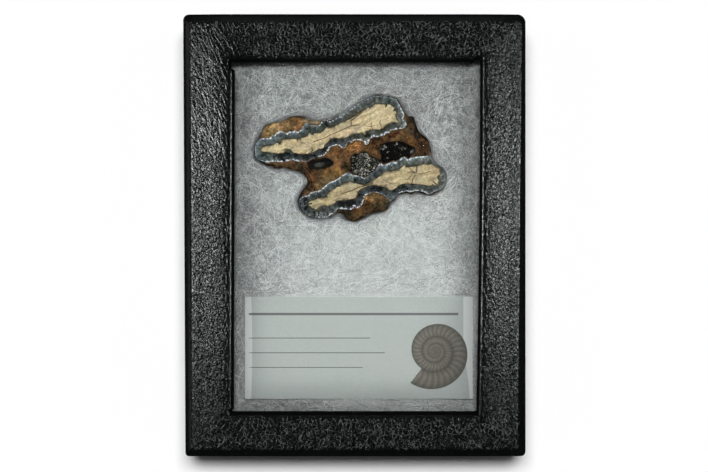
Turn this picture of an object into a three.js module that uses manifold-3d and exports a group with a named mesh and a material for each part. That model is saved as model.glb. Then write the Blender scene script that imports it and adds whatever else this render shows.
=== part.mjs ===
// A polished slice of mammoth molar, kept on fibre padding in a small glazed display case.
// Millimetres, +Z up through the glass, origin at the middle of the case's underside.
// +X runs across the case and +Y runs along it, towards the end that holds the slice.
import * as THREE from "three";
import { mergeVertices } from "three/addons/utils/BufferGeometryUtils.js";
import Module from "manifold-3d";

const wasm = await Module();
wasm.setup();

// ---- driving dimensions ----
const CASE_WIDTH = 83;
const CASE_LENGTH = 108;
const CASE_HEIGHT = 19;
const SEAT_GAP = 0.3; // clearance of a piece that lies in or beside another

// The lid is a shell of board that reaches almost to the table.
const LID_WALL = 1.5;
const LID_FACE = 1.6;
const LID_EDGE_ROUND = 1.6;
const LID_CORNER_ROUND = 0.6;
const LID_RIM_HEIGHT = 0.5;
const WINDOW_WIDTH = 59.4;
const WINDOW_LENGTH = 84.5;
const WINDOW_OFFSET_X = 0.5; // the window was cut a little off the middle of the lid
const WINDOW_OFFSET_Y = -0.5;
const WINDOW_FLARE = 0.7; // how far the covering slopes back from the window's edge

const GLASS_THICKNESS = 2;
const GLASS_WIDTH = 78.8;
const GLASS_LENGTH = 103.8;

const TRAY_WALL = 1.2;
const TRAY_FLOOR = 1.2;

const BATTING_MOAT_FLARE = 2.2; // the hollow under the slice widens upwards by this much
const BATTING_MOAT_RISE = 4.5;
const BATTING_CELLS_X = 28;
const BATTING_CELLS_Y = 37;

const SLICE_THICKNESS = 6.5;
const SLICE_CENTRE_X = -1.1;
const SLICE_CENTRE_Y = 19;

const LABEL_WIDTH = 55.8;
const LABEL_LENGTH = 25;
const LABEL_THICKNESS = 0.3;
const LABEL_CENTRE_X = 1.1;
const LABEL_CENTRE_Y = -27.6;

const PIN_RADIUS = 0.35;
const PIN_LENGTH = 14;
const PIN_HEAD_RADIUS = 0.9;
const PIN_HEAD_THICKNESS = 0.4;
const PIN_HEIGHT = 8;
const PIN_HOLE_RADIUS = PIN_RADIUS + SEAT_GAP;

// ---- heights and inner sizes that follow ----
const GLASS_TOP = CASE_HEIGHT - LID_FACE;
const GLASS_BOTTOM = GLASS_TOP - GLASS_THICKNESS;
const TRAY_WIDTH = CASE_WIDTH - 2 * (LID_WALL + SEAT_GAP);
const TRAY_LENGTH = CASE_LENGTH - 2 * (LID_WALL + SEAT_GAP);
const BATTING_WIDTH = TRAY_WIDTH - 2 * (TRAY_WALL + SEAT_GAP);
const BATTING_LENGTH = TRAY_LENGTH - 2 * (TRAY_WALL + SEAT_GAP);
const SLICE_TOP = GLASS_BOTTOM - SEAT_GAP;
const SLICE_BOTTOM = SLICE_TOP - SLICE_THICKNESS;
const LABEL_TOP = GLASS_BOTTOM - SEAT_GAP;
const LABEL_BOTTOM = LABEL_TOP - LABEL_THICKNESS;
const BATTING_TOP = LABEL_BOTTOM - SEAT_GAP;

// ---- outlines, from the slice's own centre ----
// The slice's outside, clockwise from its left tip: a loop of enamel at the upper left, brown
// cement between, a second loop at the lower right, and lumps of cement along both edges.
const SLICE_OUTLINE = [
  [-23.7, 2.1], [-23.6, 3.2], [-22.9, 4], [-22.2, 4.9], [-21.6, 6.1], [-21, 7.3], [-20.5, 7.9],
  [-19.5, 8.2], [-18.4, 8.6], [-16.8, 8.9], [-15.6, 9.6], [-14.4, 10.1], [-12.9, 10.2],
  [-11.3, 9.9], [-10.2, 9.3], [-8.8, 9.2], [-7.4, 9.1], [-5.8, 9.5], [-4.7, 9.3], [-3.9, 9.8],
  [-2.9, 10.3], [-2, 10.4], [-1.2, 11.3], [0.1, 11.9], [1, 12.7], [2.2, 13.3], [3.4, 14.1],
  [4.8, 14.7], [5.9, 15.3], [7, 15.5], [8.3, 15.2], [9.8, 15.1], [11.3, 14.6], [12, 14],
  [12.5, 13.1], [13.2, 11.7], [13.8, 10.7], [14.8, 10.2], [15.6, 10], [16, 8.9], [16.5, 7.4],
  [17.2, 6.2], [18.3, 5.2], [19.1, 4.5], [19.5, 3.3], [20, 1.6], [20.1, -0.6], [21.1, -1.5],
  [22.2, -2.3], [22.9, -3.4], [23.5, -4.8], [23.3, -6.2], [23, -7.3], [22.2, -8], [20.9, -8.6],
  [19.5, -9.1], [17.8, -8.7], [16.4, -8.5], [15, -8.9], [13.8, -8.7], [12.2, -9.1],
  [11.3, -9.3], [10.8, -10.3], [9.7, -11.1], [9.3, -12.5], [8.1, -13], [5.9, -13.4],
  [4.3, -13.9], [3, -14.8], [1.6, -15.5], [0.3, -15.4], [-1, -14.8], [-1.8, -13.9],
  [-2.9, -13.6], [-4.1, -14], [-5.2, -14.6], [-7.3, -14.7], [-9.1, -14.8], [-10.7, -14],
  [-11.9, -12.9], [-12.6, -11.8], [-12.9, -10.7], [-12.5, -9.4], [-11.8, -8.2], [-11, -7.2],
  [-10.5, -6.1], [-10.7, -5], [-11.3, -4.1], [-12.4, -3.4], [-13.8, -3], [-15.4, -2.6],
  [-16.7, -2.3], [-18.2, -2.6], [-19.1, -2.1], [-20.6, -1.8], [-21.9, -0.9], [-23, -0.1],
  [-23.7, 0.8],
];

// The oval pit near the left neck, and the two hollows that crystals line.
const OVAL_PIT = {
  depth: 3,
  narrowing: 0.5,
  outline: [
    [-10.2, -1.5], [-9.9, -0.9], [-9, -0.6], [-6.7, -0.1], [-5.7, 0], [-4.9, -0.5], [-4.1, -1.2],
    [-4.6, -2], [-5.3, -2.3], [-6.8, -2.7], [-8.3, -2.7], [-9.7, -2.5],
  ],
};
const GREY_HOLLOW = {
  depth: 1.6,
  narrowing: 0.6,
  crystals: 46,
  outline: [
    [0.1, -0.4], [0.4, 0.5], [2, 0.9], [3.6, 1.4], [4.4, 1.1], [4.9, 0.4], [5.9, 0.1],
    [7.2, -0.6], [6.9, -1.4], [6.4, -2.2], [5.9, -3.1], [5.2, -3.4], [3.8, -4.6], [2, -4.2],
    [0.4, -3.5], [0.1, -2.6],
  ],
};
const DARK_HOLLOW = {
  depth: 2.6,
  narrowing: 0.7,
  crystals: 40,
  outline: [
    [7.6, 2.3], [8.3, 3.4], [9.3, 3.8], [11.5, 4.1], [12.7, 3.9], [13.9, 3.5], [15.8, 2.6],
    [16.1, 1.8], [15.6, 1], [14.3, 0], [13.4, 0.4], [12.7, 0.3], [12, -0.3], [10.3, -0.7],
    [8.4, -1.2], [7.8, -0.5], [7.8, 0.6], [7.5, 1.3],
  ],
};

// The hollow that the slice has pressed into the batting, just outside the slice.
const BATTING_HOLLOW = [
  [-24.1, 2.1], [-23.9, 3.8], [-22.2, 6.7], [-21.2, 8.5], [-18.8, 9.3], [-15.8, 10.2],
  [-12.9, 10.9], [-10.5, 10], [-4.4, 10.1], [-1.7, 11.6], [2, 13.9], [5.6, 16], [8.6, 16],
  [12, 14.9], [14.4, 11.1], [16.1, 10.6], [17.4, 7.2], [19.6, 5], [20.8, -0.4], [22.7, -1.7],
  [24.2, -4.8], [23.7, -7.9], [19.6, -9.8], [12, -9.8], [10.2, -11.8], [9.5, -13.2],
  [4.9, -14.3], [1.7, -16.1], [-1.2, -15.4], [-2.9, -14.4], [-5.1, -15.4], [-9.5, -15.4],
  [-12.7, -13.1], [-13.4, -10.4], [-12.4, -7.9], [-11.2, -5.5], [-12.7, -4.2], [-15.8, -3.4],
  [-18.3, -3.3], [-21.5, -2.1], [-23.9, -0.1],
];

// ---- shared helpers ----
const finish = (color, roughness, metalness = 0) =>
  new THREE.MeshStandardMaterial({ color, roughness, metalness });

function solidOf(geometry) {
  const bare = geometry.clone();
  bare.deleteAttribute("normal");
  bare.deleteAttribute("uv");
  const merged = mergeVertices(bare, 1e-4);
  return new wasm.Manifold(
    new wasm.Mesh({
      numProp: 3,
      vertProperties: merged.attributes.position.array,
      triVerts: new Uint32Array(merged.index.array),
    }),
  );
}

function geometryOf(solid) {
  const { numProp, numVert, vertProperties, triVerts } = solid.getMesh();
  const positions = new Float32Array(numVert * 3);
  for (let i = 0; i < numVert; i++) {
    positions.set(vertProperties.subarray(i * numProp, i * numProp + 3), i * 3);
  }
  const geometry = new THREE.BufferGeometry();
  geometry.setAttribute("position", new THREE.BufferAttribute(positions, 3));
  geometry.setIndex(new THREE.BufferAttribute(triVerts, 1));
  geometry.computeVertexNormals();
  return geometry;
}

function namedMesh(name, geometry, material) {
  const mesh = new THREE.Mesh(geometry, material);
  mesh.name = name;
  return mesh;
}

function boxBetween(width, length, bottom, top) {
  return new THREE.BoxGeometry(width, length, top - bottom).translate(0, 0, (top + bottom) / 2);
}

const outlineShape = (points) => new THREE.Shape(points.map(([x, y]) => new THREE.Vector2(x, y)));

function roundedRectangle(width, length, radius) {
  const x = width / 2;
  const y = length / 2;
  const shape = new THREE.Shape();
  shape.moveTo(-x + radius, -y);
  shape.lineTo(x - radius, -y);
  shape.absarc(x - radius, -y + radius, radius, -Math.PI / 2, 0);
  shape.lineTo(x, y - radius);
  shape.absarc(x - radius, y - radius, radius, 0, Math.PI / 2);
  shape.lineTo(-x + radius, y);
  shape.absarc(-x + radius, y - radius, radius, Math.PI / 2, Math.PI);
  shape.lineTo(-x, -y + radius);
  shape.absarc(-x + radius, -y + radius, radius, Math.PI, 1.5 * Math.PI);
  return shape;
}

// A repeatable source of numbers from 0 to 1, for natural scatter.
function scatterSource(seed) {
  let state = seed;
  return () => {
    state = (state * 16807) % 2147483647;
    return state / 2147483647;
  };
}

const pinHole = (reach) =>
  new THREE.CylinderGeometry(PIN_HOLE_RADIUS, PIN_HOLE_RADIUS, 2 * reach, 10)
    .rotateZ(Math.PI / 2)
    .translate(0, 0, PIN_HEIGHT);

// ---- the lid ----
function lid() {
  const block = new THREE.ExtrudeGeometry(
    roundedRectangle(
      CASE_WIDTH - 2 * LID_EDGE_ROUND,
      CASE_LENGTH - 2 * LID_EDGE_ROUND,
      LID_CORNER_ROUND,
    ),
    {
      depth: CASE_HEIGHT - LID_EDGE_ROUND,
      bevelThickness: LID_EDGE_ROUND,
      bevelSize: LID_EDGE_ROUND,
      bevelSegments: 4,
      curveSegments: 3,
    },
  );
  const standing = boxBetween(2 * CASE_WIDTH, 2 * CASE_LENGTH, LID_RIM_HEIGHT, 2 * CASE_HEIGHT);
  const hollow = boxBetween(
    CASE_WIDTH - 2 * LID_WALL,
    CASE_LENGTH - 2 * LID_WALL,
    -CASE_HEIGHT,
    GLASS_TOP,
  );
  const window = new THREE.ExtrudeGeometry(
    roundedRectangle(WINDOW_WIDTH, WINDOW_LENGTH, 0.2),
    {
      depth: CASE_HEIGHT,
      bevelThickness: LID_FACE * 0.8,
      bevelSize: WINDOW_FLARE,
      bevelSegments: 2,
      curveSegments: 1,
    },
  ).translate(WINDOW_OFFSET_X, WINDOW_OFFSET_Y, GLASS_TOP + LID_FACE * 0.8);
  const solid = solidOf(block)
    .intersect(solidOf(standing))
    .subtract(solidOf(hollow))
    .subtract(solidOf(window))
    .subtract(solidOf(pinHole(CASE_WIDTH)));
  return namedMesh("lid", geometryOf(solid), finish(0x1b1c1d, 0.55));
}

// ---- the glass, face to face with the lid above it and the tray below it ----
const glass = () =>
  namedMesh(
    "glass",
    boxBetween(GLASS_WIDTH, GLASS_LENGTH, GLASS_BOTTOM, GLASS_TOP),
    finish(0xdfe8e6, 0.05),
  );

// ---- the tray ----
function tray() {
  const solid = solidOf(boxBetween(TRAY_WIDTH, TRAY_LENGTH, 0, GLASS_BOTTOM))
    .subtract(
      solidOf(
        boxBetween(
          TRAY_WIDTH - 2 * TRAY_WALL,
          TRAY_LENGTH - 2 * TRAY_WALL,
          TRAY_FLOOR,
          CASE_HEIGHT,
        ),
      ),
    )
    .subtract(solidOf(pinHole(CASE_WIDTH)));
  return namedMesh("tray", geometryOf(solid), finish(0x161616, 0.75));
}

// ---- the batting ----
// It swells gently and sinks towards the tray's walls.
function battingHeight(x, y) {
  const toWall = Math.min(BATTING_WIDTH / 2 - Math.abs(x), BATTING_LENGTH / 2 - Math.abs(y));
  const sinking = 1.6 * Math.exp(-toWall / 2.5);
  const swelling = 0.25 * (1 + Math.sin(x / 6.3 + 0.8) * Math.cos(y / 8.1));
  return BATTING_TOP - sinking - swelling;
}

function batting() {
  const pad = new THREE.BoxGeometry(
    BATTING_WIDTH,
    BATTING_LENGTH,
    1,
    BATTING_CELLS_X,
    BATTING_CELLS_Y,
    1,
  );
  const position = pad.attributes.position;
  for (let i = 0; i < position.count; i++) {
    const top = battingHeight(position.getX(i), position.getY(i));
    position.setZ(i, position.getZ(i) > 0 ? top : 0);
  }
  const aboveFloor = boxBetween(TRAY_WIDTH, TRAY_LENGTH, TRAY_FLOOR, CASE_HEIGHT);
  const hollow = new THREE.ExtrudeGeometry(outlineShape(BATTING_HOLLOW), {
    depth: CASE_HEIGHT,
    bevelThickness: BATTING_MOAT_RISE,
    bevelSize: BATTING_MOAT_FLARE,
    bevelSegments: 2,
  }).translate(SLICE_CENTRE_X, SLICE_CENTRE_Y, SLICE_BOTTOM - SEAT_GAP + BATTING_MOAT_RISE);
  const solid = solidOf(pad)
    .intersect(solidOf(aboveFloor))
    .subtract(solidOf(hollow))
    .subtract(solidOf(pinHole(CASE_WIDTH)));
  return namedMesh("batting", geometryOf(solid), finish(0xa6a8a7, 1));
}

// ---- the slice ----
// The saw cut its two faces flat; its outside is natural, so it wanders between them.
function sliceBlank() {
  const blank = new THREE.ExtrudeGeometry(outlineShape(SLICE_OUTLINE), {
    depth: SLICE_THICKNESS,
    steps: 4,
    bevelEnabled: false,
  });
  const position = blank.attributes.position;
  for (let i = 0; i < position.count; i++) {
    const x = position.getX(i);
    const y = position.getY(i);
    const z = position.getZ(i);
    const below = 1 - z / SLICE_THICKNESS;
    const drawnIn = 1 - 0.03 * below * below;
    const wander = 0.28 * Math.sin(Math.PI * below);
    position.setX(i, x * drawnIn + wander * Math.sin(1.9 * y + 2.1 * z));
    position.setY(i, y * drawnIn + wander * Math.sin(1.7 * x - 1.4 * z));
  }
  return blank;
}

function pitCutter({ depth, narrowing, outline }) {
  return new THREE.ExtrudeGeometry(outlineShape(outline), {
    depth,
    bevelThickness: depth,
    bevelSize: narrowing,
    bevelOffset: -narrowing,
    bevelSegments: 3,
  }).translate(0, 0, SLICE_THICKNESS);
}

function insideOutline(outline, x, y) {
  let inside = false;
  outline.forEach(([x1, y1], i) => {
    const [x2, y2] = outline[(i + 1) % outline.length];
    if (y1 > y !== y2 > y && x < x1 + ((y - y1) * (x2 - x1)) / (y2 - y1)) inside = !inside;
  });
  return inside;
}

// Small pointed crystals grow from a hollow's floor and stay below the polished face.
function crystalsIn({ depth, outline, crystals }, seed) {
  const random = scatterSource(seed);
  const xs = outline.map(([x]) => x);
  const ys = outline.map(([, y]) => y);
  const span = (values) => Math.max(...values) - Math.min(...values);
  const grown = [];
  while (grown.length < crystals) {
    const x = Math.min(...xs) + random() * span(xs);
    const y = Math.min(...ys) + random() * span(ys);
    if (!insideOutline(outline, x, y)) continue;
    const radius = 0.3 + 0.3 * random();
    const height = Math.min(depth - 0.2, 0.5 + 0.8 * random());
    const crystal = new THREE.ConeGeometry(radius, height + 0.6, 5)
      .rotateX(Math.PI / 2)
      .translate(0, 0, height / 2 - 0.3)
      .rotateX(0.5 * (random() - 0.5))
      .rotateY(0.5 * (random() - 0.5))
      .rotateZ(6.28 * random())
      .translate(x, y, SLICE_THICKNESS - depth);
    grown.push(solidOf(crystal));
  }
  return grown;
}

function sliceSolid() {
  let solid = solidOf(sliceBlank());
  for (const pit of [OVAL_PIT, GREY_HOLLOW, DARK_HOLLOW]) {
    solid = solid.subtract(solidOf(pitCutter(pit)));
  }
  for (const crystal of [...crystalsIn(GREY_HOLLOW, 11), ...crystalsIn(DARK_HOLLOW, 29)]) {
    solid = solid.add(crystal);
  }
  return solid;
}

function molarSlice() {
  const mesh = namedMesh("molar_slice", geometryOf(sliceSolid()), finish(0x8f7d5c, 0.3));
  mesh.position.set(SLICE_CENTRE_X, SLICE_CENTRE_Y, SLICE_BOTTOM);
  return mesh;
}

// ---- the label ----
function label() {
  const paper = boxBetween(LABEL_WIDTH, LABEL_LENGTH, LABEL_BOTTOM, LABEL_TOP);
  const mesh = namedMesh("label", paper, finish(0x98a09c, 0.7));
  mesh.position.set(LABEL_CENTRE_X, LABEL_CENTRE_Y, 0);
  return mesh;
}

// ---- the pins ----
// Each is pushed through a long side of the lid and the tray, with its head on the lid.
function pin(name, side) {
  const profile = [
    [0, -PIN_HEAD_THICKNESS],
    [PIN_HEAD_RADIUS * 0.7, -PIN_HEAD_THICKNESS],
    [PIN_HEAD_RADIUS, -PIN_HEAD_THICKNESS / 2],
    [PIN_HEAD_RADIUS, 0],
    [PIN_RADIUS, 0],
    [PIN_RADIUS, PIN_LENGTH - 3 * PIN_RADIUS],
    [0, PIN_LENGTH],
  ].map(([x, y]) => new THREE.Vector2(x, y));
  const mesh = namedMesh(name, new THREE.LatheGeometry(profile, 10), finish(0xb9bcc0, 0.25, 1));
  mesh.rotation.z = (side * Math.PI) / 2;
  mesh.position.set((side * CASE_WIDTH) / 2, 0, PIN_HEIGHT);
  return mesh;
}

const displayCase = new THREE.Group();
displayCase.add(lid(), glass(), tray(), batting(), molarSlice(), label());
displayCase.add(pin("pin_left", -1), pin("pin_right", 1));
export default displayCase;
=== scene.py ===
"""A polished slice of mammoth molar on fibre padding, in a small glazed display case.

Sizes are millimetres in the CAD model's frame: +Z up through the glass, origin at the middle of
the case's underside, +Y towards the end that holds the slice. Meshes are scaled to metres last.
"""

import itertools
import math

import bpy
import mathutils
import numpy as np
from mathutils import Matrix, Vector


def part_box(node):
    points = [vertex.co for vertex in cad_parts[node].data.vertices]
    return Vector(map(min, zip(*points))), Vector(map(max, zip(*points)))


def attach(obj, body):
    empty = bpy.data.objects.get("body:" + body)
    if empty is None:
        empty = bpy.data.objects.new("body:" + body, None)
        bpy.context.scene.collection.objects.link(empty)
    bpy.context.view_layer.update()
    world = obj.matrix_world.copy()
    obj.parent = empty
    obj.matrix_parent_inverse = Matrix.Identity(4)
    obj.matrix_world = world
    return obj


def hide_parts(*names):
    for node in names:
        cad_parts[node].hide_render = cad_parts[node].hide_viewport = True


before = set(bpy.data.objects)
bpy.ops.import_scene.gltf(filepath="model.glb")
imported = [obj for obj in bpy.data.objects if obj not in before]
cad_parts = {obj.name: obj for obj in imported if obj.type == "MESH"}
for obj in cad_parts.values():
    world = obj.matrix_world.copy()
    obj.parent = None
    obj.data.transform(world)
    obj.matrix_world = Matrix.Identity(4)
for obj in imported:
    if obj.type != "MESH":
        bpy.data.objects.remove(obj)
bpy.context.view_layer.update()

MM = 0.001


def box_mm(node):
    """A CAD node's lowest and highest corners, in millimetres."""
    low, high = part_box(node)
    return np.array(low) / MM, np.array(high) / MM


_, LID_HIGH = box_mm("lid")
GLASS_LOW, GLASS_HIGH = box_mm("glass")
BATTING_LOW, BATTING_HIGH = box_mm("batting")
SLICE_LOW, SLICE_HIGH = box_mm("molar_slice")
LABEL_LOW, LABEL_HIGH = box_mm("label")

OUTSIDE = -9.0  # a depth that is well outside every mark


# ======== numbers that repeat ========
HASH_FACTORS = (374761393, 668265263, 2246822519, 3266489917)  # odd numbers that scatter the bits
HASH_BITS = 0xFFFFFF


def lattice_value(cell, seed):
    """A repeatable number from 0 to 1 for each whole-numbered cell (N x 3)."""
    a, b, c, d = (np.uint64(factor) for factor in HASH_FACTORS)
    x, y, z = cell.astype(np.uint64).T
    h = x * a + y * b + z * c + np.uint64(seed * HASH_FACTORS[3])
    h = (h ^ (h >> np.uint64(15))) * c
    h = (h ^ (h >> np.uint64(13))) * d
    return ((h >> np.uint64(16)) & np.uint64(HASH_BITS)).astype(float) / HASH_BITS


def in_space(points):
    """Points with a third coordinate, which is 0 where they have two."""
    points = np.asarray(points, float)
    return np.column_stack([points, np.zeros((len(points), 3 - points.shape[1]))])


def noise(points, size, seed):
    """Smooth noise from -1 to 1 whose features are about size across."""
    p = in_space(points) / size
    low = np.floor(p)
    f = p - low
    f = f * f * (3 - 2 * f)
    low = low.astype(np.int64)
    total = np.zeros(len(p))
    for corner in itertools.product((0, 1), repeat=3):
        share = np.prod(np.where(np.array(corner) == 1, f, 1 - f), axis=1)
        total += share * lattice_value(low + np.array(corner), seed)
    return 2 * total - 1


def rough_noise(points, size, seed, octaves=3):
    """Noise with finer noise on top of it, from about -1 to 1."""
    total = sum(noise(points, size / 2**i, seed + i) / 2**i for i in range(octaves))
    return total / sum(0.5**i for i in range(octaves))


def pebbles(points, size, seed):
    """Distances from each point to the two nearest of scattered cell centres, in cell sizes."""
    p = in_space(points) / size
    home = np.floor(p).astype(np.int64)
    first, second = np.full((2, len(p)), np.inf)
    for step in itertools.product((-1, 0, 1), repeat=3):
        cell = home + np.array(step)
        place = cell + np.stack([lattice_value(cell, seed + axis) for axis in range(3)], axis=1)
        distance = np.linalg.norm(p - place, axis=1)
        second = np.minimum(second, np.maximum(distance, first))
        first = np.minimum(first, distance)
    return first, second


def smooth_step(value, low, high):
    t = np.clip((value - low) / (high - low), 0, 1)
    return t * t * (3 - 2 * t)


def mix(a, b, share):
    return a + (b - a) * share


def linear(*rgb):
    """An sRGB colour of 0 to 255 as linear light."""
    c = np.array(rgb, float) / 255
    return np.where(c <= 0.04045, c / 12.92, ((c + 0.055) / 1.055) ** 2.4)


def rgba(*rgb):
    return (*linear(*rgb), 1.0)


# ======== meshes and materials ========
def new_object(name, points, faces, materials, smooth=True, face_materials=None):
    """An object made from points in millimetres and lists of faces, one list per corner count."""
    mesh = bpy.data.meshes.new(name)
    points = np.asarray(points, float) * MM
    faces = [np.asarray(f, np.int64) for f in faces if len(f)]
    loops = np.concatenate([f.ravel() for f in faces])
    sizes = np.concatenate([np.full(len(f), f.shape[1]) for f in faces])
    starts = np.concatenate([[0], np.cumsum(sizes)[:-1]])
    mesh.vertices.add(len(points))
    mesh.vertices.foreach_set("co", points.ravel())
    mesh.loops.add(len(loops))
    mesh.loops.foreach_set("vertex_index", loops)
    mesh.polygons.add(len(sizes))
    mesh.polygons.foreach_set("loop_start", starts)
    for material in materials:
        mesh.materials.append(material)
    if face_materials is not None:
        mesh.polygons.foreach_set("material_index", face_materials)
    mesh.update(calc_edges=True)
    mesh.polygons.foreach_set("use_smooth", np.full(len(sizes), smooth))
    made = bpy.data.objects.new(name, mesh)
    bpy.context.scene.collection.objects.link(made)
    return made


def give_value(obj, name, values):
    """Stores one number at each point of the object's mesh."""
    attribute = obj.data.attributes.new(name, "FLOAT", "POINT")
    attribute.data.foreach_set("value", np.asarray(values, np.float32))


def give_colour(obj, name, colours):
    """Stores one linear colour at each point of the object's mesh."""
    attribute = obj.data.attributes.new(name, "FLOAT_COLOR", "POINT")
    full = np.column_stack([colours, np.ones(len(colours))]).astype(np.float32)
    attribute.data.foreach_set("color", full.ravel())


def flat_grid(x, y):
    """The points of a grid, its squares and the loop of points along its border."""
    points = np.stack(np.meshgrid(x, y), axis=2).reshape(-1, 2)
    at = np.arange(len(points)).reshape(len(y), len(x))
    squares = np.stack([at[:-1, :-1], at[:-1, 1:], at[1:, 1:], at[1:, :-1]], axis=2).reshape(-1, 4)
    border = np.concatenate([at[0, :-1], at[:-1, -1], at[-1, :0:-1], at[:0:-1, 0]])
    return points, squares, border


def ring_walls(rings):
    """Four-sided faces between each ring of point numbers and the next ring."""
    beside = np.roll(rings, -1, 1)
    corners = [rings[1:], beside[1:], beside[:-1], rings[:-1]]
    return np.stack(corners, axis=2).reshape(-1, 4)


class Finish:
    """A Principled material and short ways to add nodes to it."""

    def __init__(self, name, colour, roughness, **settings):
        self.material = bpy.data.materials.new(name)
        self.material.use_nodes = True
        self.tree = self.material.node_tree
        self.shader = self.tree.nodes["Principled BSDF"]
        self.output = self.tree.nodes["Material Output"]
        self.shader.inputs["Base Color"].default_value = rgba(*colour)
        self.shader.inputs["Roughness"].default_value = roughness
        for socket, value in settings.items():
            self.shader.inputs[socket.replace("_", " ")].default_value = value

    def node(self, kind, inputs=None, **settings):
        made = self.tree.nodes.new("ShaderNode" + kind)
        for key, value in settings.items():
            setattr(made, key, value)
        for key, value in (inputs or {}).items():
            self.feed(value, made.inputs[key])
        return made

    def feed(self, value, socket):
        """Links an output to the socket, or sets the socket to a plain value."""
        if isinstance(value, bpy.types.NodeSocket):
            self.tree.links.new(value, socket)
        else:
            socket.default_value = value

    def place(self):
        return self.node("TexCoord").outputs["Object"]

    def stored(self, name, output="Fac"):
        return self.node("Attribute", attribute_name=name).outputs[output]

    def noise(self, scale_mm, detail=2.0, roughness=0.5, vector=None, distortion=0.0):
        """Noise from 0 to 1 whose features are about scale_mm across."""
        inputs = {
            "Vector": vector or self.place(),
            "Scale": 1 / (scale_mm * MM),
            "Detail": detail,
            "Roughness": roughness,
            "Distortion": distortion,
        }
        return self.node("TexNoise", inputs).outputs["Fac"]

    def math(self, operation, a, b=0.0, c=0.0, clamp=False):
        made = self.node("Math", operation=operation, use_clamp=clamp)
        for value, socket in zip((a, b, c), made.inputs):
            self.feed(value, socket)
        return made.outputs[0]

    def range(self, value, low, high, to_low=0.0, to_high=1.0, smooth=True):
        ends = {"From Min": low, "From Max": high, "To Min": to_low, "To Max": to_high}
        kind = "SMOOTHSTEP" if smooth else "LINEAR"
        made = self.node("MapRange", {"Value": value, **ends}, interpolation_type=kind)
        return made.outputs["Result"]

    def mix(self, share, a, b, blend="MIX"):
        made = self.node("Mix", data_type="RGBA", blend_type=blend)
        self.feed(share, made.inputs[0])
        self.feed(a, made.inputs[6])
        self.feed(b, made.inputs[7])
        return made.outputs[2]

    def ramp(self, value, stops):
        """A colour that follows value through (position, sRGB colour) stops."""
        made = self.node("ValToRGB", {"Fac": value})
        elements = made.color_ramp.elements
        while len(elements) < len(stops):
            elements.new(0.5)
        for element, (position, colour) in zip(elements, stops):
            element.position = position
            element.color = rgba(*colour)
        return made.outputs["Color"]

    def colour(self, socket):
        self.feed(socket, self.shader.inputs["Base Color"])

    def roughness(self, socket):
        self.feed(socket, self.shader.inputs["Roughness"])

    def bump(self, height, depth_mm, strength=1.0):
        inputs = {"Height": height, "Distance": depth_mm * MM, "Strength": strength}
        self.feed(self.node("Bump", inputs).outputs["Normal"], self.shader.inputs["Normal"])


# ======== outlines ========
POINTS_AT_ONCE = 4000  # how many points are compared with a line in one step


def closed_curve(points, steps=4):
    """A smooth closed line through the points, with some steps between each two."""
    p = np.asarray(points, float)
    before, after, beyond = np.roll(p, 1, 0), np.roll(p, -1, 0), np.roll(p, -2, 0)
    t = np.arange(steps)[:, None, None] / steps
    curve = 0.5 * (
        2 * p
        + (after - before) * t
        + (2 * before - 5 * p + 4 * after - beyond) * t**2
        + (3 * p - before - 3 * after + beyond) * t**3
    )
    return curve.transpose(1, 0, 2).reshape(-1, 2)


def nearest_on(points, line, closed=True):
    """Distance from each point to a line, the nearest place on it and how far along it that is."""
    line = np.asarray(line, float)
    start = line if closed else line[:-1]
    end = np.roll(line, -1, 0) if closed else line[1:]
    span = end - start
    length = np.maximum(np.linalg.norm(span, axis=1), 1e-9)
    run = np.concatenate([[0], np.cumsum(length)[:-1]])
    found = []
    for first in range(0, len(points), POINTS_AT_ONCE):
        p = points[first : first + POINTS_AT_ONCE]
        t = ((p[:, None] - start[None]) * span[None]).sum(2) / length**2
        t = np.clip(t, 0, 1)
        on = start[None] + t[:, :, None] * span[None]
        distance = np.linalg.norm(p[:, None] - on, axis=2)
        best = distance.argmin(1)
        rows = np.arange(len(p))
        along = run[best] + t[rows, best] * length[best]
        found.append((distance[rows, best], on[rows, best], along))
    return tuple(np.concatenate(part) for part in zip(*found))


def is_inside(points, line):
    """Whether each point lies inside a closed line."""
    line = np.asarray(line, float)
    x, y = np.asarray(points, float).T
    inside = np.zeros(len(x), bool)
    for (x1, y1), (x2, y2) in zip(line, np.roll(line, -1, 0)):
        if y1 != y2:
            crosses = (y1 > y) != (y2 > y)
            inside ^= crosses & (x < x1 + (y - y1) * (x2 - x1) / (y2 - y1))
    return inside


def depth_inside(points, line):
    """Distance to a closed line, positive inside it."""
    distance = nearest_on(points, line)[0]
    return np.where(is_inside(points, line), distance, -distance)


# ======== the slice ========
CELL = 0.16  # spacing of the points on the slice's two faces
SIDE_LAYERS = 15  # strips down the slice's rough side
BOTTOM_SHRINK = 0.03  # by what share the lower face is smaller
CRYSTAL_FOOT = 0.4  # how far a crystal reaches into the hollow's floor
SLICE_EXPOSURE = 0.47  # the colours below are as bright as the window's light shows them
SLICE_CENTRE = np.array([-1.1, 19.0])  # the lines and marks below are measured from it

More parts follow.
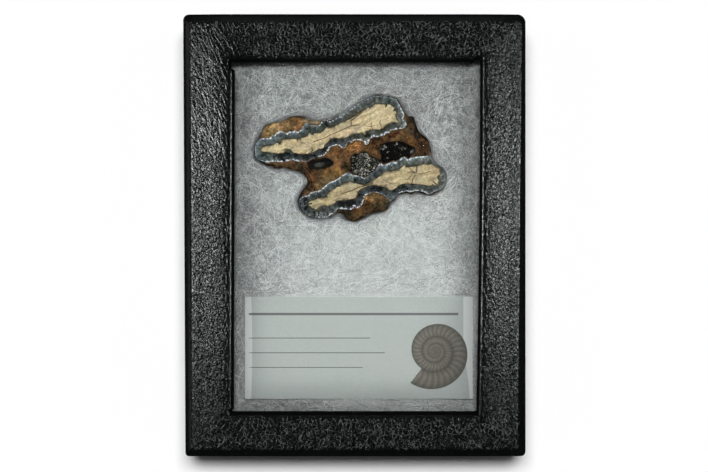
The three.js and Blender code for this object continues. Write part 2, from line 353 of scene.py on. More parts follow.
SLICE_OUTLINE = [
    (-23.5, 2.1), (-23.4, 3.2), (-22.2, 4.9), (-21, 7.3), (-20.5, 7.9), (-18.4, 8.6),
    (-16.8, 8.9), (-14.4, 10.1), (-12.9, 10.2), (-11.3, 9.9), (-10.2, 9.3), (-7.4, 9.1),
    (-5.8, 9.5), (-4.7, 9.3), (-2.9, 10.3), (-2, 10.4), (-1.2, 11.3), (0.1, 11.9), (1, 12.7),
    (3.4, 14.1), (5.9, 15.3), (7, 15.5), (8.3, 15.2), (9.8, 15.1), (11.3, 14.6), (12, 14),
    (13.8, 10.7), (14.8, 10.2), (15.6, 10), (16.5, 7.4), (17.2, 6.2), (19.1, 4.5), (20, 1.6),
    (20.1, -0.6), (22.2, -2.3), (22.9, -3.4), (23.5, -4.8), (23.3, -6.2), (23, -7.3),
    (22.2, -8), (20.9, -8.6), (19.5, -9.1), (16.4, -8.5), (15, -8.9), (13.8, -8.7),
    (11.3, -9.3), (10.8, -10.3), (9.7, -11.1), (9.3, -12.5), (8.1, -13), (5.9, -13.4),
    (4.3, -13.9), (3, -14.8), (1.6, -15.5), (0.3, -15.4), (-1, -14.8), (-1.8, -13.9),
    (-2.9, -13.6), (-4.1, -14), (-5.2, -14.6), (-9.1, -14.8), (-10.7, -14), (-11.9, -12.9),
    (-12.6, -11.8), (-12.9, -10.7), (-12.5, -9.4), (-11.8, -8.2), (-11, -7.2), (-10.5, -6.1),
    (-10.7, -5), (-11.3, -4.1), (-12.4, -3.4), (-15.4, -2.6), (-16.7, -2.3), (-18.2, -2.6),
    (-19.1, -2.1), (-20.6, -1.8), (-23, -0.1), (-23.5, 0.8),
]

# Two loops of enamel, each a band between an outer line and the dentine that it encloses.
LOWER_ENAMEL_START = 200  # keeps the lower loop's pattern apart from the upper one's
UPPER_ENAMEL = [
    (-23.3, 2.8), (-23, 3.5), (-21.9, 4.6), (-21.3, 4.8), (-19.9, 4.8), (-18.9, 5.5),
    (-18.4, 5.6), (-18, 6.1), (-17.5, 6.4), (-16.8, 6.5), (-16.1, 6.2), (-15.4, 6.1),
    (-14.9, 6.4), (-14.1, 6.4), (-13.4, 6.7), (-12.9, 6.3), (-12.3, 6.6), (-11.8, 7.1),
    (-11.2, 8.2), (-10.9, 8.4), (-10.2, 8.4), (-9.7, 8), (-8.3, 7.9), (-7.5, 8), (-6.9, 8.9),
    (-6.4, 9.3), (-5.8, 9.4), (-4.6, 9), (-2.8, 10.2), (-2.1, 10.1), (-1, 11.5), (0.1, 11.8),
    (1, 12.6), (3.4, 14), (6.1, 15.2), (10, 14.8), (10.8, 14.4), (11.4, 14.3), (13.2, 10.9),
    (13, 9.5), (13.5, 9.1), (13.9, 8), (13.5, 7.8), (13.3, 7.3), (10, 6.7), (9.7, 6.1),
    (9, 6.1), (8.4, 5.5), (7.8, 5.5), (7.2, 5.2), (6.6, 5.1), (6, 5.2), (5, 4.7), (4.5, 3.5),
    (4.2, 3.2), (3.7, 3.4), (3.4, 4), (2, 4.4), (1, 4.3), (0.4, 3.7), (-0.1, 4), (-0.5, 3.9),
    (-1.2, 2.5), (-1.9, 2.4), (-2.8, 3.1), (-3.4, 3.1), (-4.6, 2.7), (-5, 2.4), (-5.2, 1.9),
    (-6.1, 0.9), (-6.6, 0.5), (-8.9, -0.1), (-10.7, -0.9), (-11.3, -1), (-11.8, -0.7),
    (-12.7, -0.9), (-14.1, -0.5), (-16.3, -1), (-19.3, -0.9), (-19.9, -1.1), (-21, -1),
    (-22.7, -0.2), (-23.2, 0.6),
]
UPPER_DENTINE = [
    (-21.8, 2.1), (-21, 2.7), (-19, 3.2), (-17.7, 3.7), (-17.2, 3.3), (-16.8, 4), (-16.1, 4.5),
    (-13.4, 4.6), (-12.9, 4.3), (-11.9, 4.8), (-11, 5), (-10.3, 5.5), (-10.1, 6), (-9.7, 6),
    (-9.2, 5.7), (-8.5, 6), (-6.9, 6.3), (-6, 7.3), (-5.5, 7.5), (-4.9, 7.3), (-3.1, 8),
    (-2.2, 8.6), (-0.2, 9.4), (3.9, 12), (4.7, 12.3), (5, 12.2), (6.1, 13.1), (6.9, 13.2),
    (8.6, 13.1), (8.9, 12.6), (9.2, 13.1), (9.8, 13), (10.8, 12.4), (11, 12.1), (10.9, 11.7),
    (11.3, 11.5), (11.5, 11), (11.3, 10.5), (11.3, 9.9), (11.9, 8.8), (11.3, 8.6), (10.3, 8.6),
    (8.4, 7.6), (8.1, 7.2), (6.9, 6.9), (5.9, 6.9), (3.9, 6.5), (3.9, 5.8), (3.4, 5.7),
    (3.1, 6), (0.8, 5.8), (-0.5, 5.2), (-1.8, 4.8), (-4.4, 4.8), (-4.9, 4.5), (-5.2, 4),
    (-6.2, 3.2), (-6.4, 2.6), (-6.8, 2.3), (-7.8, 2.1), (-9.1, 1.4), (-11.4, 0.9), (-13.4, 1.2),
    (-14.1, 1.5), (-14.6, 1.9), (-15.2, 2), (-15.7, 1.8), (-16.1, 1.3), (-17.1, 1.1),
    (-18, 1.1), (-21, 1.5), (-21.7, 1.7),
]
LOWER_ENAMEL = [
    (-12.5, -11.1), (-12.4, -10.3), (-11.8, -9.7), (-11.3, -9.4), (-10.1, -9.1), (-9.7, -8.6),
    (-9.2, -8.4), (-7.1, -7.9), (-6.8, -7.5), (-4.9, -6), (-3.4, -5.4), (-1, -3.8), (0.1, -3.8),
    (0.6, -4.2), (2.7, -4.5), (3.2, -4.9), (3.7, -5), (5.3, -3.7), (6, -3.3), (6.6, -2.6),
    (7.2, -1.5), (7.7, -1.4), (8.1, -1.7), (8.7, -1.7), (10, -1.1), (11.7, -0.9), (12.5, -0.1),
    (13.2, 0.2), (13.8, 0), (14.2, -0.4), (15, 0), (16.9, 0.3), (20, 0.4), (20.2, -0.6),
    (21.1, -1.5), (22.2, -2.3), (22.9, -3.4), (23.5, -4.7), (23.3, -6), (22.8, -7.3),
    (22.1, -7.9), (20.9, -8.2), (19.4, -9), (18.2, -8.4), (16.4, -8.1), (14.7, -8.4),
    (13.9, -8.1), (13.2, -8.4), (12.5, -8.5), (11.1, -9.3), (10.8, -10.1), (10.2, -10.5),
    (9.7, -10.5), (8, -9), (5.5, -8.4), (4.8, -8.9), (4.2, -9), (3.6, -9.4), (3, -11.4),
    (1.9, -12.3), (1.4, -12.2), (1.1, -11.8), (0.8, -12.4), (0.1, -12.7), (-2.5, -12.5),
    (-3.1, -12.6), (-4, -13.6), (-4.7, -13.9), (-5.2, -14.4), (-6.1, -14.7), (-9, -14.6),
    (-10.2, -14.1), (-11.2, -13.3), (-12.3, -11.8),
]
LOWER_DENTINE = [
    (-10.2, -11.4), (-10, -10.8), (-9.4, -10.5), (-8.8, -10.4), (-8, -10), (-5.7, -9.7),
    (-5.6, -9.2), (-5.1, -8.4), (-3.1, -7.1), (-2.4, -7), (-2, -6.6), (-1.4, -6.3),
    (-0.7, -6.2), (-0.1, -5.8), (0.6, -6.1), (2.5, -6.5), (3.9, -6.6), (7.3, -4.5), (8.6, -3.4),
    (10.3, -3.3), (12.2, -2.7), (13.2, -1.7), (13.6, -1.7), (13.8, -2.2), (15.4, -2.2),
    (18.1, -1.6), (19.6, -1.6), (20.5, -1.8), (21.4, -2.2), (22, -2.8), (22.2, -3.5),
    (22, -4.3), (21.5, -4.6), (21.7, -5.7), (21.6, -6.6), (21, -6.8), (20.3, -6.5),
    (19.8, -6.8), (18.8, -6.8), (18.1, -6.6), (15.5, -6.4), (15.3, -6.1), (14.9, -6.4),
    (13, -6.4), (12.2, -6.7), (10.8, -7.7), (10, -8), (9.4, -7.8), (8.8, -7.3), (8.1, -7.1),
    (6.1, -6.7), (5.2, -6.7), (3, -7.5), (2.2, -8), (1.6, -9.4), (1.1, -10), (-3, -10.5),
    (-3.6, -11.1), (-5.3, -11.9), (-6.1, -11.7), (-6.8, -11.8), (-7.3, -12), (-7.9, -12.5),
    (-8.5, -12.7), (-9.7, -12),
]

# Pits in the polished face: outline, depth and width of the sloping wall.
OVAL_PIT = [
    (-10.2, -1.5), (-9.9, -0.9), (-6.7, -0.1), (-5.7, 0), (-4.2, -1), (-4.1, -1.5), (-4.6, -2),
    (-6.8, -2.7), (-9.5, -2.6), (-10.1, -2.1),
]
GREY_HOLLOW = [
    (0.1, -0.4), (0.4, 0.5), (1, 0.8), (2, 0.9), (2.7, 1.3), (3.6, 1.4), (4.4, 1.1), (4.9, 0.4),
    (7.1, -0.4), (7.6, -1), (6.9, -1.4), (5.9, -3.1), (5.2, -3.4), (3.8, -4.6), (1, -3.9),
    (0.4, -3.5), (0.1, -2.6), (0.3, -1.4),
]
DARK_HOLLOW = [
    (7.3, 2.1), (8.3, 3.4), (9.3, 3.8), (11.5, 4.1), (12.7, 3.9), (13.9, 3.5), (14.9, 2.9),
    (15.8, 2.6), (16.1, 1.8), (15.6, 1), (14.8, 0.4), (14.3, -0.1), (13.7, 0.4), (12.7, 0.4),
    (12, -0.3), (11.3, -0.6), (10.3, -0.7), (9.3, -1.1), (8.3, -1.3), (7.6, -0.6), (7.7, 0.4),
]
PITS = [(OVAL_PIT, 3.0, 0.5), (GREY_HOLLOW, 1.6, 0.25), (DARK_HOLLOW, 2.6, 0.6)]
OVAL_FLOOR = (-7.5, -1.6, 1.5, 0.65, 8)  # the grey mineral at the bottom of the oval pit
# The pits are painted black, which on the oval pit's walls is painted shade.
PIT_BLACK, PIT_GREY = (4, 4, 3), (33, 34, 29)

# Crystals painted pale as highlights where the dark hollow glints: place, radius and paleness.
GLINTS = [
    (14.4, 1.7, 0.34, 1.0), (11.6, 3.5, 0.26, 0.9), (8, 3.5, 0.3, 0.6), (8.7, 2.8, 0.34, 0.55),
    (8.2, 2.2, 0.24, 0.5), (9.5, 1.5, 0.26, 0.5), (9.2, 0.1, 0.2, 0.6), (12.2, 2.3, 0.3, 0.4),
    (12.9, 2.5, 0.34, 0.45), (13.6, 2.2, 0.26, 0.35), (15.1, 1.3, 0.3, 0.3),
]

# The crystals in each hollow: its outline, how deep its floor is, their number, least and greatest
# radius, greatest height and seed, then the share of pale ones, how pale they are and how pale the
# others are, and those with a place of their own.
CRYSTAL_BEDS = [
    (GREY_HOLLOW, 1.5, 800, (0.07, 0.2), 1.35, 5, (0.55, 0.95, 0.04), []),
    (DARK_HOLLOW, 2.5, 120, (0.14, 0.5), 1.7, 8, (0.04, 0.15, 0.002), GLINTS),
]

# Where the enamel's white rim is strong, as the cement patches are given, but with a strength.
RIM_ELSEWHERE = 0.24
RIM_PLACES = [
    (-16.5, 5.8, 5.6, 1.9, 15, 0.95),
    (-7, 8.8, 3.2, 1.2, 5, 0.7),
    (0.8, 11.5, 8, 2, 33, 0.6),
    (9, 14.8, 4, 1, -5, 0.4),
    (13.4, 10.8, 1.3, 4, 10, 0.75),
    (7, 5.6, 7, 2, 18, 1.0),
    (-4.4, 2, 3.4, 1.6, 30, 0.85),
    (-16.6, -0.8, 5.2, 0.8, 0, 0.8),
    (-22.8, 2.5, 0.8, 2.2, 0, 0.45),
    (-6.4, -7.2, 7, 1.7, 38, 0.85),
    (1.6, -4.2, 2.4, 0.9, -10, 0.55),
    (12.5, -1, 7.6, 1.6, 6, 0.95),
    (-0.5, -12.2, 3.6, 1, 0, 0.85),
    (3.6, -10, 1.3, 2, -30, 0.7),
    (7, -8.6, 2.4, 0.8, 0, 0.4),
    (16, -8.4, 5, 0.8, 0, 0.75),
    (-6, -13.9, 2.6, 1.1, 0, 0.7),
    (23, -5.2, 0.8, 1.6, 0, 0.6),
]

# Patches of the brown cement: centre, half lengths, turn in degrees and sRGB colour.
CEMENT_BROWN = (92, 70, 47)
CEMENT_BLACK = (12, 9, 6)
CEMENT_PATCHES = [
    (-19.8, 6.4, 1.7, 1.3, 20, (150, 130, 92)),
    (-17.2, 7.6, 2.2, 1.5, 12, (142, 124, 94)),
    (-14.6, 8.2, 2.4, 1.6, 8, (132, 106, 74)),
    (-12.4, 8.8, 1.4, 1.4, 0, (138, 106, 70)),
    (-9.2, 8.9, 2.4, 0.7, -4, (166, 152, 126)),
    (-4, 1.3, 2.3, 1.3, 30, (122, 92, 58)),
    (-2, -0.2, 2.1, 2.4, 60, (98, 72, 48)),
    (-0.9, -2.2, 1.2, 1.6, 80, (66, 52, 32)),
    (-4.9, -4.3, 3, 1.7, 35, (134, 106, 68)),
    (-6.9, -6.3, 2.3, 1.1, 40, (130, 110, 76)),
    (-2.9, -3.9, 1.2, 0.8, 40, (132, 104, 58)),
    (-11.2, -3.1, 1.6, 1, -40, (70, 56, 42)),
    (-9.7, -4.6, 0.9, 1.9, 10, (96, 68, 40)),
    (-9.8, -7, 1, 1.5, 0, (44, 32, 18)),
    (-12.3, -2, 1.5, 0.8, 0, (62, 52, 36)),
    (0.5, 2.8, 1.8, 0.9, 20, (124, 94, 58)),
    (3, 2.5, 2.2, 0.9, 12, (112, 80, 50)),
    (5, 3, 1.3, 1, 20, (92, 68, 42)),
    (6.9, 3.5, 1.5, 1.6, 10, (62, 42, 24)),
    (10.5, 5.6, 2.2, 0.8, 12, (70, 44, 27)),
    (14.7, 9.4, 1.3, 1.3, 0, (52, 46, 37)),
    (14.7, 7.2, 1.6, 1.2, -20, (82, 68, 51)),
    (16.6, 5.9, 1.6, 1.4, -50, (60, 50, 37)),
    (17.9, 2.4, 1.5, 2, 10, (70, 49, 32)),
    (-2, -13.4, 1.6, 1.5, 0, (54, 47, 34)),
    (0, -13.8, 1.8, 1.6, 0, (52, 42, 26)),
    (2.3, -13.6, 1.5, 1.6, 20, (106, 80, 50)),
    (5.8, -10, 2.4, 1.2, 5, (140, 114, 76)),
    (6.9, -11.8, 1.6, 1.4, 0, (72, 60, 42)),
    (9, -11.5, 1, 1.4, 0, (56, 50, 38)),
    (4.2, -11.6, 1, 1.2, 0, (84, 60, 40)),
]

# Where the cement's growth lines show, and where they follow the slice's edge instead of the
# enamel, as the cement patches are given, but with a strength.
GROWTH_SPACING, NECK_SPACING = 0.55, 0.6
GROWTH_BANDS = [
    (3, 3, 4.6, 1.4, 12, 1),
    (9.5, 5.6, 4, 1, 14, 0.5),
    (-4, 0.5, 2.4, 1.8, 40, 0.4),
    (5.5, -11, 3.4, 1.8, 10, 0.6),
    (-17, 7, 5, 1.6, 12, 0.35),
]
NECK_BANDS = [
    (-10.2, -4, 1.5, 3.4, 8, 1),
    (17, 4, 1.4, 4, 15, 0.5),
]

# Where the enamel's outer part is broken into black and white flecks, and where painted shade
# darkens the slice's outline, as above.
FLECKS = [
    (23, -5, 1.1, 3.4, 0, 0.6),
    (-15.5, -0.9, 4.6, 0.8, -4, 0.8),
    (16.5, -8.4, 5.6, 0.7, 0, 0.7),
    (-11.5, -11.2, 1, 2.6, 10, 0.25),
    (-7.5, -14, 3.4, 0.9, 0, 0.6),
    (0, -12.5, 4, 0.6, 0, 0.5),
]
PAINTED_OUTLINE_SHADE = [
    (-23.4, 1.2, 1.2, 3.4, 0, 0.7),
    (-20, -1, 4.6, 1.2, -10, 1),
    (-13.5, -2.6, 5, 1, -8, 0.5),
    (-12.4, -11.4, 1.6, 4, 8, 1),
    (-7, -14.8, 5, 1, 0, 0.9),
    (16, -8.8, 8, 1, 0, 0.7),
    (23.9, -4.6, 1, 4, 0, 0.9),
    (-9.8, -5, 1.4, 5, 10, 0.5),
    (17, 5.5, 2, 5, 20, 0.6),
    (3, -14, 6, 2, 5, 0.5),
]

# Light and dark lengths of the enamel, as the cement patches are given.
ENAMEL_GREY = (84, 92, 92)
ENAMEL_OLIVE = (52, 48, 30)
FLECK_WHITE, FLECK_BLACK = (170, 176, 172), (8, 9, 9)
ENAMEL_STOPS = (0, 0.15, 0.4, 0.62, 0.82, 1)  # across the band, from its rim to the dentine
ENAMEL_LEVELS = (1.6, 1.4, 1.0, 0.72, 0.85, 0.4)
ENAMEL_PATCHES = [
    (-22, 2.4, 1.6, 2.4, 0, (112, 124, 120)),
    (-19.9, 4, 1.9, 1, 10, (108, 120, 124)),
    (-16, 5.4, 2.2, 0.9, 0, (92, 102, 104)),
    (-9, 7.2, 2.4, 0.9, 0, (70, 78, 76)),
    (-5, 8.4, 2.2, 1, 20, (66, 70, 64)),
    (0.5, 10.8, 2.4, 1, 35, (96, 96, 88)),
    (6, 14, 3, 1, 20, (86, 92, 88)),
    (12.3, 11, 1, 2.4, 0, (112, 118, 114)),
    (12.6, 8.3, 1.2, 1, 0, (122, 128, 124)),
    (-20.4, 0.2, 2, 1.1, 0, (82, 92, 90)),
    (-15.5, 0.3, 3, 1.2, 0, (38, 45, 47)),
    (-10, 0.2, 3.4, 1.1, -8, (38, 44, 43)),
    (-6.2, 1.3, 2, 1.4, 40, (44, 47, 48)),
    (-3, 3.9, 2.4, 1, 10, (56, 60, 60)),
    (2.5, 5, 3, 0.9, 8, (64, 66, 58)),
    (8.5, 6.4, 3.4, 0.9, 15, (78, 84, 74)),
    (-11.3, -11, 1.3, 2, 0, (36, 43, 46)),
    (-7.6, -8.8, 1.8, 0.9, 20, (62, 70, 72)),
    (-4.4, -7, 2.2, 1, 40, (78, 90, 92)),
    (-0.5, -4.9, 2, 1, 20, (98, 110, 108)),
    (3, -5.6, 1.8, 0.9, -10, (50, 58, 58)),
    (6.3, -3.8, 2.2, 0.9, 38, (66, 74, 76)),
    (10.2, -2.1, 2.4, 0.9, 10, (98, 108, 108)),
    (13.3, -0.8, 1, 1, 0, (100, 112, 104)),
    (17, -0.7, 3.4, 1, 3, (120, 126, 120)),
    (22.6, -5, 1, 3, 0, (116, 122, 115)),
    (-8, -13.7, 2.4, 0.9, 0, (60, 64, 64)),
    (-6, -13, 1.4, 1, 0, (86, 90, 90)),
    (-1, -11.5, 3.4, 1.1, 0, (32, 34, 35)),
    (2.8, -9.6, 1.4, 1.6, 50, (58, 63, 66)),
    (6.6, -7.7, 2.6, 1, 5, (32, 38, 40)),
    (12.5, -7.8, 3, 1.1, 0, (44, 50, 52)),
    (18.5, -7.8, 3, 0.9, -5, (70, 76, 72)),
]

# Warmer and greener tints in the dentine, as the cement patches are given.
DENTINE_CREAM = (190, 177, 141)
DENTINE_EDGE = (84, 74, 46)
DENTINE_TURNS = (24, 12)  # which way the upper and the lower loop's streaks run, in degrees
DENTINE_LEVELS = (1.17, 0.97)  # how light the upper and the lower loop are
DENTINE_PATCHES = [
    (-17.3, 2.7, 3, 1, 5, (192, 182, 136)),
    (-14.5, 3.7, 2, 0.7, 0, (200, 172, 132)),
    (-9.5, 2.6, 1.3, 0.9, 30, (178, 164, 130)),
    (-15.4, 1.7, 1, 0.5, 0, (120, 116, 70)),
    (-9.2, 2.2, 0.5, 0.9, -30, (118, 112, 68)),
    (-5.5, 5.2, 2.4, 0.8, 25, (196, 176, 138)),
    (0.3, 6.4, 2.2, 0.8, 15, (202, 178, 146)),
    (7, 10.4, 3, 1.8, 20, (200, 187, 148)),
    (-8.7, -11.3, 1.2, 1, 0, (168, 160, 120)),
    (-6, -10.8, 1.6, 0.8, 15, (178, 166, 124)),
    (-2.6, -8.8, 2, 1.6, 50, (184, 166, 128)),
    (2.5, -7.1, 1.8, 0.7, 0, (196, 178, 134)),
    (12.5, -4.8, 3, 1.6, 5, (186, 176, 136)),
    (18.6, -5.4, 1.3, 0.9, 20, (186, 158, 116)),
    (21.2, -3.4, 0.9, 1.2, 0, (182, 156, 112)),
    (17.6, -5.3, 2, 0.7, 10, (184, 180, 144)),
]

# Cracks in the dentine, each a line of points with its width.
CRACKS = [
    ([(-9, 3.9), (-6.3, 4.8), (-4.9, 5.6), (-3.8, 6), (-1.2, 7.2), (0.3, 7.8), (2.5, 8.1)], 0.15),
    ([(0.2, 7.8), (0.4, 8.6), (0.2, 9.3)], 0.16),
    ([(0.4, 9.2), (1.4, 9.9), (2.6, 11)], 0.2),
    ([(5.3, 8.5), (5.1, 7.7), (5.8, 6.9)], 0.13),
    ([(7.5, 9.2), (7.3, 8.6), (7.7, 7.6)], 0.14),
    ([(3.6, 7.9), (4.9, 7.6), (6.1, 8)], 0.09),
    ([(8.9, 13.2), (8.8, 12.4)], 0.24),
    ([(-17.6, 4), (-17.3, 3.4), (-16.8, 3.3)], 0.2),
    ([(-13.1, 4.6), (-12.8, 4.1)], 0.14),
    ([(-12.2, 3.9), (-11.4, 3.7), (-10.9, 3.4)], 0.11),
    ([(-14.6, 1.9), (-15.6, 2.2), (-16.2, 1.9)], 0.22),
    ([(-9.4, 2.6), (-9.1, 1.8), (-9.5, 1.5)], 0.14),
    ([(-2.2, -8.9), (-1, -8.5), (0.5, -8), (2, -7.3), (3.6, -6.9), (5.6, -6.2)], 0.15),
    ([(8.3, -5.5), (9.8, -6.2), (10.8, -6.5)], 0.11),
    ([(7.1, -6.7), (7.9, -6.9), (9, -6.6)], 0.09),
    ([(14.3, -2.2), (15, -3), (15.6, -3.4), (16, -4.3), (15.4, -5.2), (15.2, -6.2)], 0.12),
    ([(16.4, -2.1), (16.3, -3.6), (15.7, -3.5)], 0.17),
    ([(14.1, -3.6), (15.7, -3.4), (14.9, -4.6), (14, -5.4)], 0.09),
    ([(16.4, -3.9), (18.1, -3.8), (19.8, -3.3)], 0.08),
    ([(20.4, -5.8), (20.9, -6.2), (21.6, -6.9)], 0.24),
    ([(21.9, -4.2), (21.4, -4.8), (21.9, -5.4)], 0.16),
    ([(10.9, 12.6), (11.2, 12.1), (10.8, 11.5)], 0.3),
    ([(11.6, 11), (11.4, 10.2), (11.6, 9.4)], 0.16),
    ([(-10, -11.3), (-9.4, -11.2)], 0.34),
]


def turned(points, centre, turn, long, wide):
    """How far the points lie along and across a direction, in its own lengths and widths."""
    x, y = (points - centre).T
    c, s = math.cos(math.radians(turn)), math.sin(math.radians(turn))
    return (x * c + y * s) / long, (y * c - x * s) / wide


def patch_share(points, patch, ragged):
    """How far each point lies in a soft patch, from 0 to 1."""
    x, y, long, wide, turn = patch[:5]
    along, across = turned(points, (x, y), turn, long, wide)
    return smooth_step(np.hypot(along, across) + ragged, 1.35, 0.55)


def strongest(points, patches, ragged):
    """The largest of the patches' shares at each point, times each patch's strength."""
    return np.max([patch[5] * patch_share(points, patch, ragged) for patch in patches], axis=0)


def painted(points, ground, patches, seed, edge=0.35):
    """Linear colours at the points: a ground colour with soft, ragged patches of other colours."""
    colours = np.tile(linear(*ground), (len(points), 1))
    ragged = edge * rough_noise(points, 1.1, seed, 3)
    for patch in patches:
        share = patch_share(points, patch, ragged)
        colours = mix(colours, linear(*patch[5]), share[:, None])
    return colours


def streaks(points, turn, length, width, seed):
    """Noise from -1 to 1 in streaks that run at turn degrees."""
    return rough_noise(np.column_stack(turned(points, (0, 0), turn, length, width)), 1, seed)


def slice_grid():
    """The points of a square grid that fills the slice's outline, and its squares."""
    outline = closed_curve(SLICE_OUTLINE)
    low, high = outline.min(0) - 2 * CELL, outline.max(0) + 2 * CELL
    columns, rows = np.ceil((high - low) / CELL).astype(int) + 1
    x, y = low[0] + CELL * np.arange(columns), low[1] + CELL * np.arange(rows)
    points, squares, _ = flat_grid(x, y)
    distance, place, _ = nearest_on(points, outline)
    inside = is_inside(points, outline) & (distance > 0.3 * CELL)
    squares = squares[inside[squares].all(1)]
    while True:  # a point where two squares touch only by their corners would pinch the surface
        uses = np.bincount(squares.ravel(), minlength=len(points))
        quadrant = np.zeros(len(points), int)
        for i in range(4):
            np.bitwise_or.at(quadrant, squares[:, i], 1 << i)
        pinched = (uses == 2) & ((quadrant == 0b0101) | (quadrant == 0b1010))
        lonely = (uses == 1)[squares].sum(1) >= 3
        drop = pinched[squares].any(1) | lonely
        if not drop.any():
            break
        squares = squares[~drop]
    border = (uses > 0) & (uses < 4)
    points[border] = place[border]
    used = np.flatnonzero(uses)
    renumbered = np.full(len(points), -1)
    renumbered[used] = np.arange(len(used))
    return points[used], renumbered[squares]


def border_loops(squares):
    """The squares' border as loops of point numbers, the longest first."""
    edges = np.vstack([squares[:, [i, (i + 1) % 4]] for i in range(4)])
    known = {tuple(e) for e in edges.tolist()}
    following = {a: b for a, b in known if (b, a) not in known}
    loops = []
    while following:
        start, place = next(iter(following.items()))
        loop = [start]
        del following[start]
        while place != start:
            loop.append(place)
            place = following.pop(place)
        loops.append(loop)
    return sorted(loops, key=len, reverse=True)


def pit_depth(points):
    """How far the face falls into its pits at each point, and how far inside a pit it is."""
    fall = np.zeros(len(points))
    within = np.full(len(points), OUTSIDE)
    uneven = 1 + 0.18 * rough_noise(points, 1.3, 31)
    for outline, depth, wall in PITS:
        inside = depth_inside(points, closed_curve(outline))
        fall = np.maximum(fall, depth * uneven * smooth_step(inside, -0.05, wall))
        within = np.maximum(within, inside)
    return fall, within


def crystal(x, y, base, radius, height, lean, turn, sides=6):
    """One pointed crystal as a closed prism: its points, four-sided faces and triangles."""
    angle = turn + np.arange(sides) * 2 * math.pi / sides
    circle = np.column_stack([np.cos(angle), np.sin(angle)]) * radius
    foot = np.column_stack([circle, np.full(sides, -CRYSTAL_FOOT)])
    top = np.column_stack([circle * 0.92, np.full(sides, 0.55 * height)])
    points = np.vstack([foot, top, [[0.12 * radius, 0, height]], [[0, 0, -CRYSTAL_FOOT]]])
    points[:, :2] += points[:, 2:] * lean
    points += (x, y, base)
    i = np.arange(sides)
    j = (i + 1) % sides
    walls = np.column_stack([i, j, j + sides, i + sides])
    tips = np.column_stack([i + sides, j + sides, np.full(sides, 2 * sides)])
    soles = np.column_stack([j, i, np.full(sides, 2 * sides + 1)])
    return points, walls, np.vstack([tips, soles])


def crystals_in(outline, depth, count, radii, tallest, seed, tones, placed):
    """Crystals scattered over a hollow's floor: points, walls, tips and each point's paleness."""
    random = np.random.default_rng(seed)
    line = closed_curve(outline)
    low, high = line.min(0), line.max(0)
    pale_share, pale, dark = tones
    points, walls, tips, paleness, total = [], [], [], [], 0
    placed = list(placed)
    while len(paleness) < count:
        if placed:
            *place, radius, tone = placed.pop(0)
            place = np.array(place)
        else:
            place = low + random.random(2) * (high - low)
            radius = mix(*radii, random.random() ** 2)
            tone = pale * random.random() if random.random() < pale_share else dark
            tone *= mix(0.3, 1, smooth_step(noise(place[None], 1.5, seed)[0], -0.35, 0.25))
        height = min(tallest, radius * (2.2 + 2.5 * random.random()))
        lean = 1.2 * (random.random(2) - 0.5)
        turn = 6.28 * random.random()
        if depth_inside(place[None], line)[0] < 0.7 * radius:
            continue
        p, w, t = crystal(*place, SLICE_HIGH[2] - depth, radius, height, lean, turn)
        points.append(p)
        walls.append(w + total)
        tips.append(t + total)
        paleness.append(np.full(len(p), tone))
        total += len(p)
    return np.vstack(points), np.vstack(walls), np.vstack(tips), np.concatenate(paleness)


def enamel_place(points, outer_points, inner_points):
    """Depth below an enamel band's outer line, depth inside its dentine, and place along it."""
    outer, inner = closed_curve(outer_points), closed_curve(inner_points)
    distance, _, along = nearest_on(points, outer)
    depth = np.where(is_inside(points, outer), distance, -distance)
    return depth, depth_inside(points, inner), along


def cement_colours(points, depth, within_pit, to_edge):
    """Brown, with growth lines that follow the enamel, pores and painted shade round the pits."""
    colours = painted(points, CEMENT_BROWN, CEMENT_PATCHES, 3)
    ragged = 0.3 * rough_noise(points, 1, 15)
    lines = np.sin(2 * math.pi * (-depth / GROWTH_SPACING + 0.5 * rough_noise(points, 2.5, 5)))
    lines *= smooth_step(-depth, 0, 0.3) * strongest(points, GROWTH_BANDS, ragged)
    ragged = 0.3 * rough_noise(points, 1, 21)
    neck = np.sin(2 * math.pi * (to_edge / NECK_SPACING + 0.6 * rough_noise(points, 2, 17)))
    lines += neck * strongest(points, NECK_BANDS, ragged)
    level = rough_noise(points, 0.5, 19) + 1.3 * rough_noise(points, 1.7, 23) + 0.6 * lines
    colours *= np.exp(level - 0.16)[:, None]
    warmth = 0.18 * rough_noise(points, 1.3, 27) + 0.12 * lines
    colours *= np.exp(np.outer(warmth, (1, 0, -1.2)))
    colours *= (1.14, 1.05, 0.84)
    pores = 0.6 * smooth_step(noise(points, 0.4, 29), 0.6, 0.8)
    # painted shade: the cement darkens round the rims of the pits
    pit_rim_shade = 0.5 * smooth_step(within_pit + 0.5 * rough_noise(points, 1.2, 33), -0.6, 0)
    near_edge = smooth_step(to_edge + 0.4 * rough_noise(points, 1, 37), 0.9, 0.5)
    # painted shade: the cement is darkened towards black along parts of the slice's outline
    outline_shade_share = 0.85 * strongest(points, PAINTED_OUTLINE_SHADE, 0) * near_edge
    dark = np.maximum.reduce([pores, pit_rim_shade, outline_shade_share])
    return mix(colours, linear(*CEMENT_BLACK), dark[:, None])


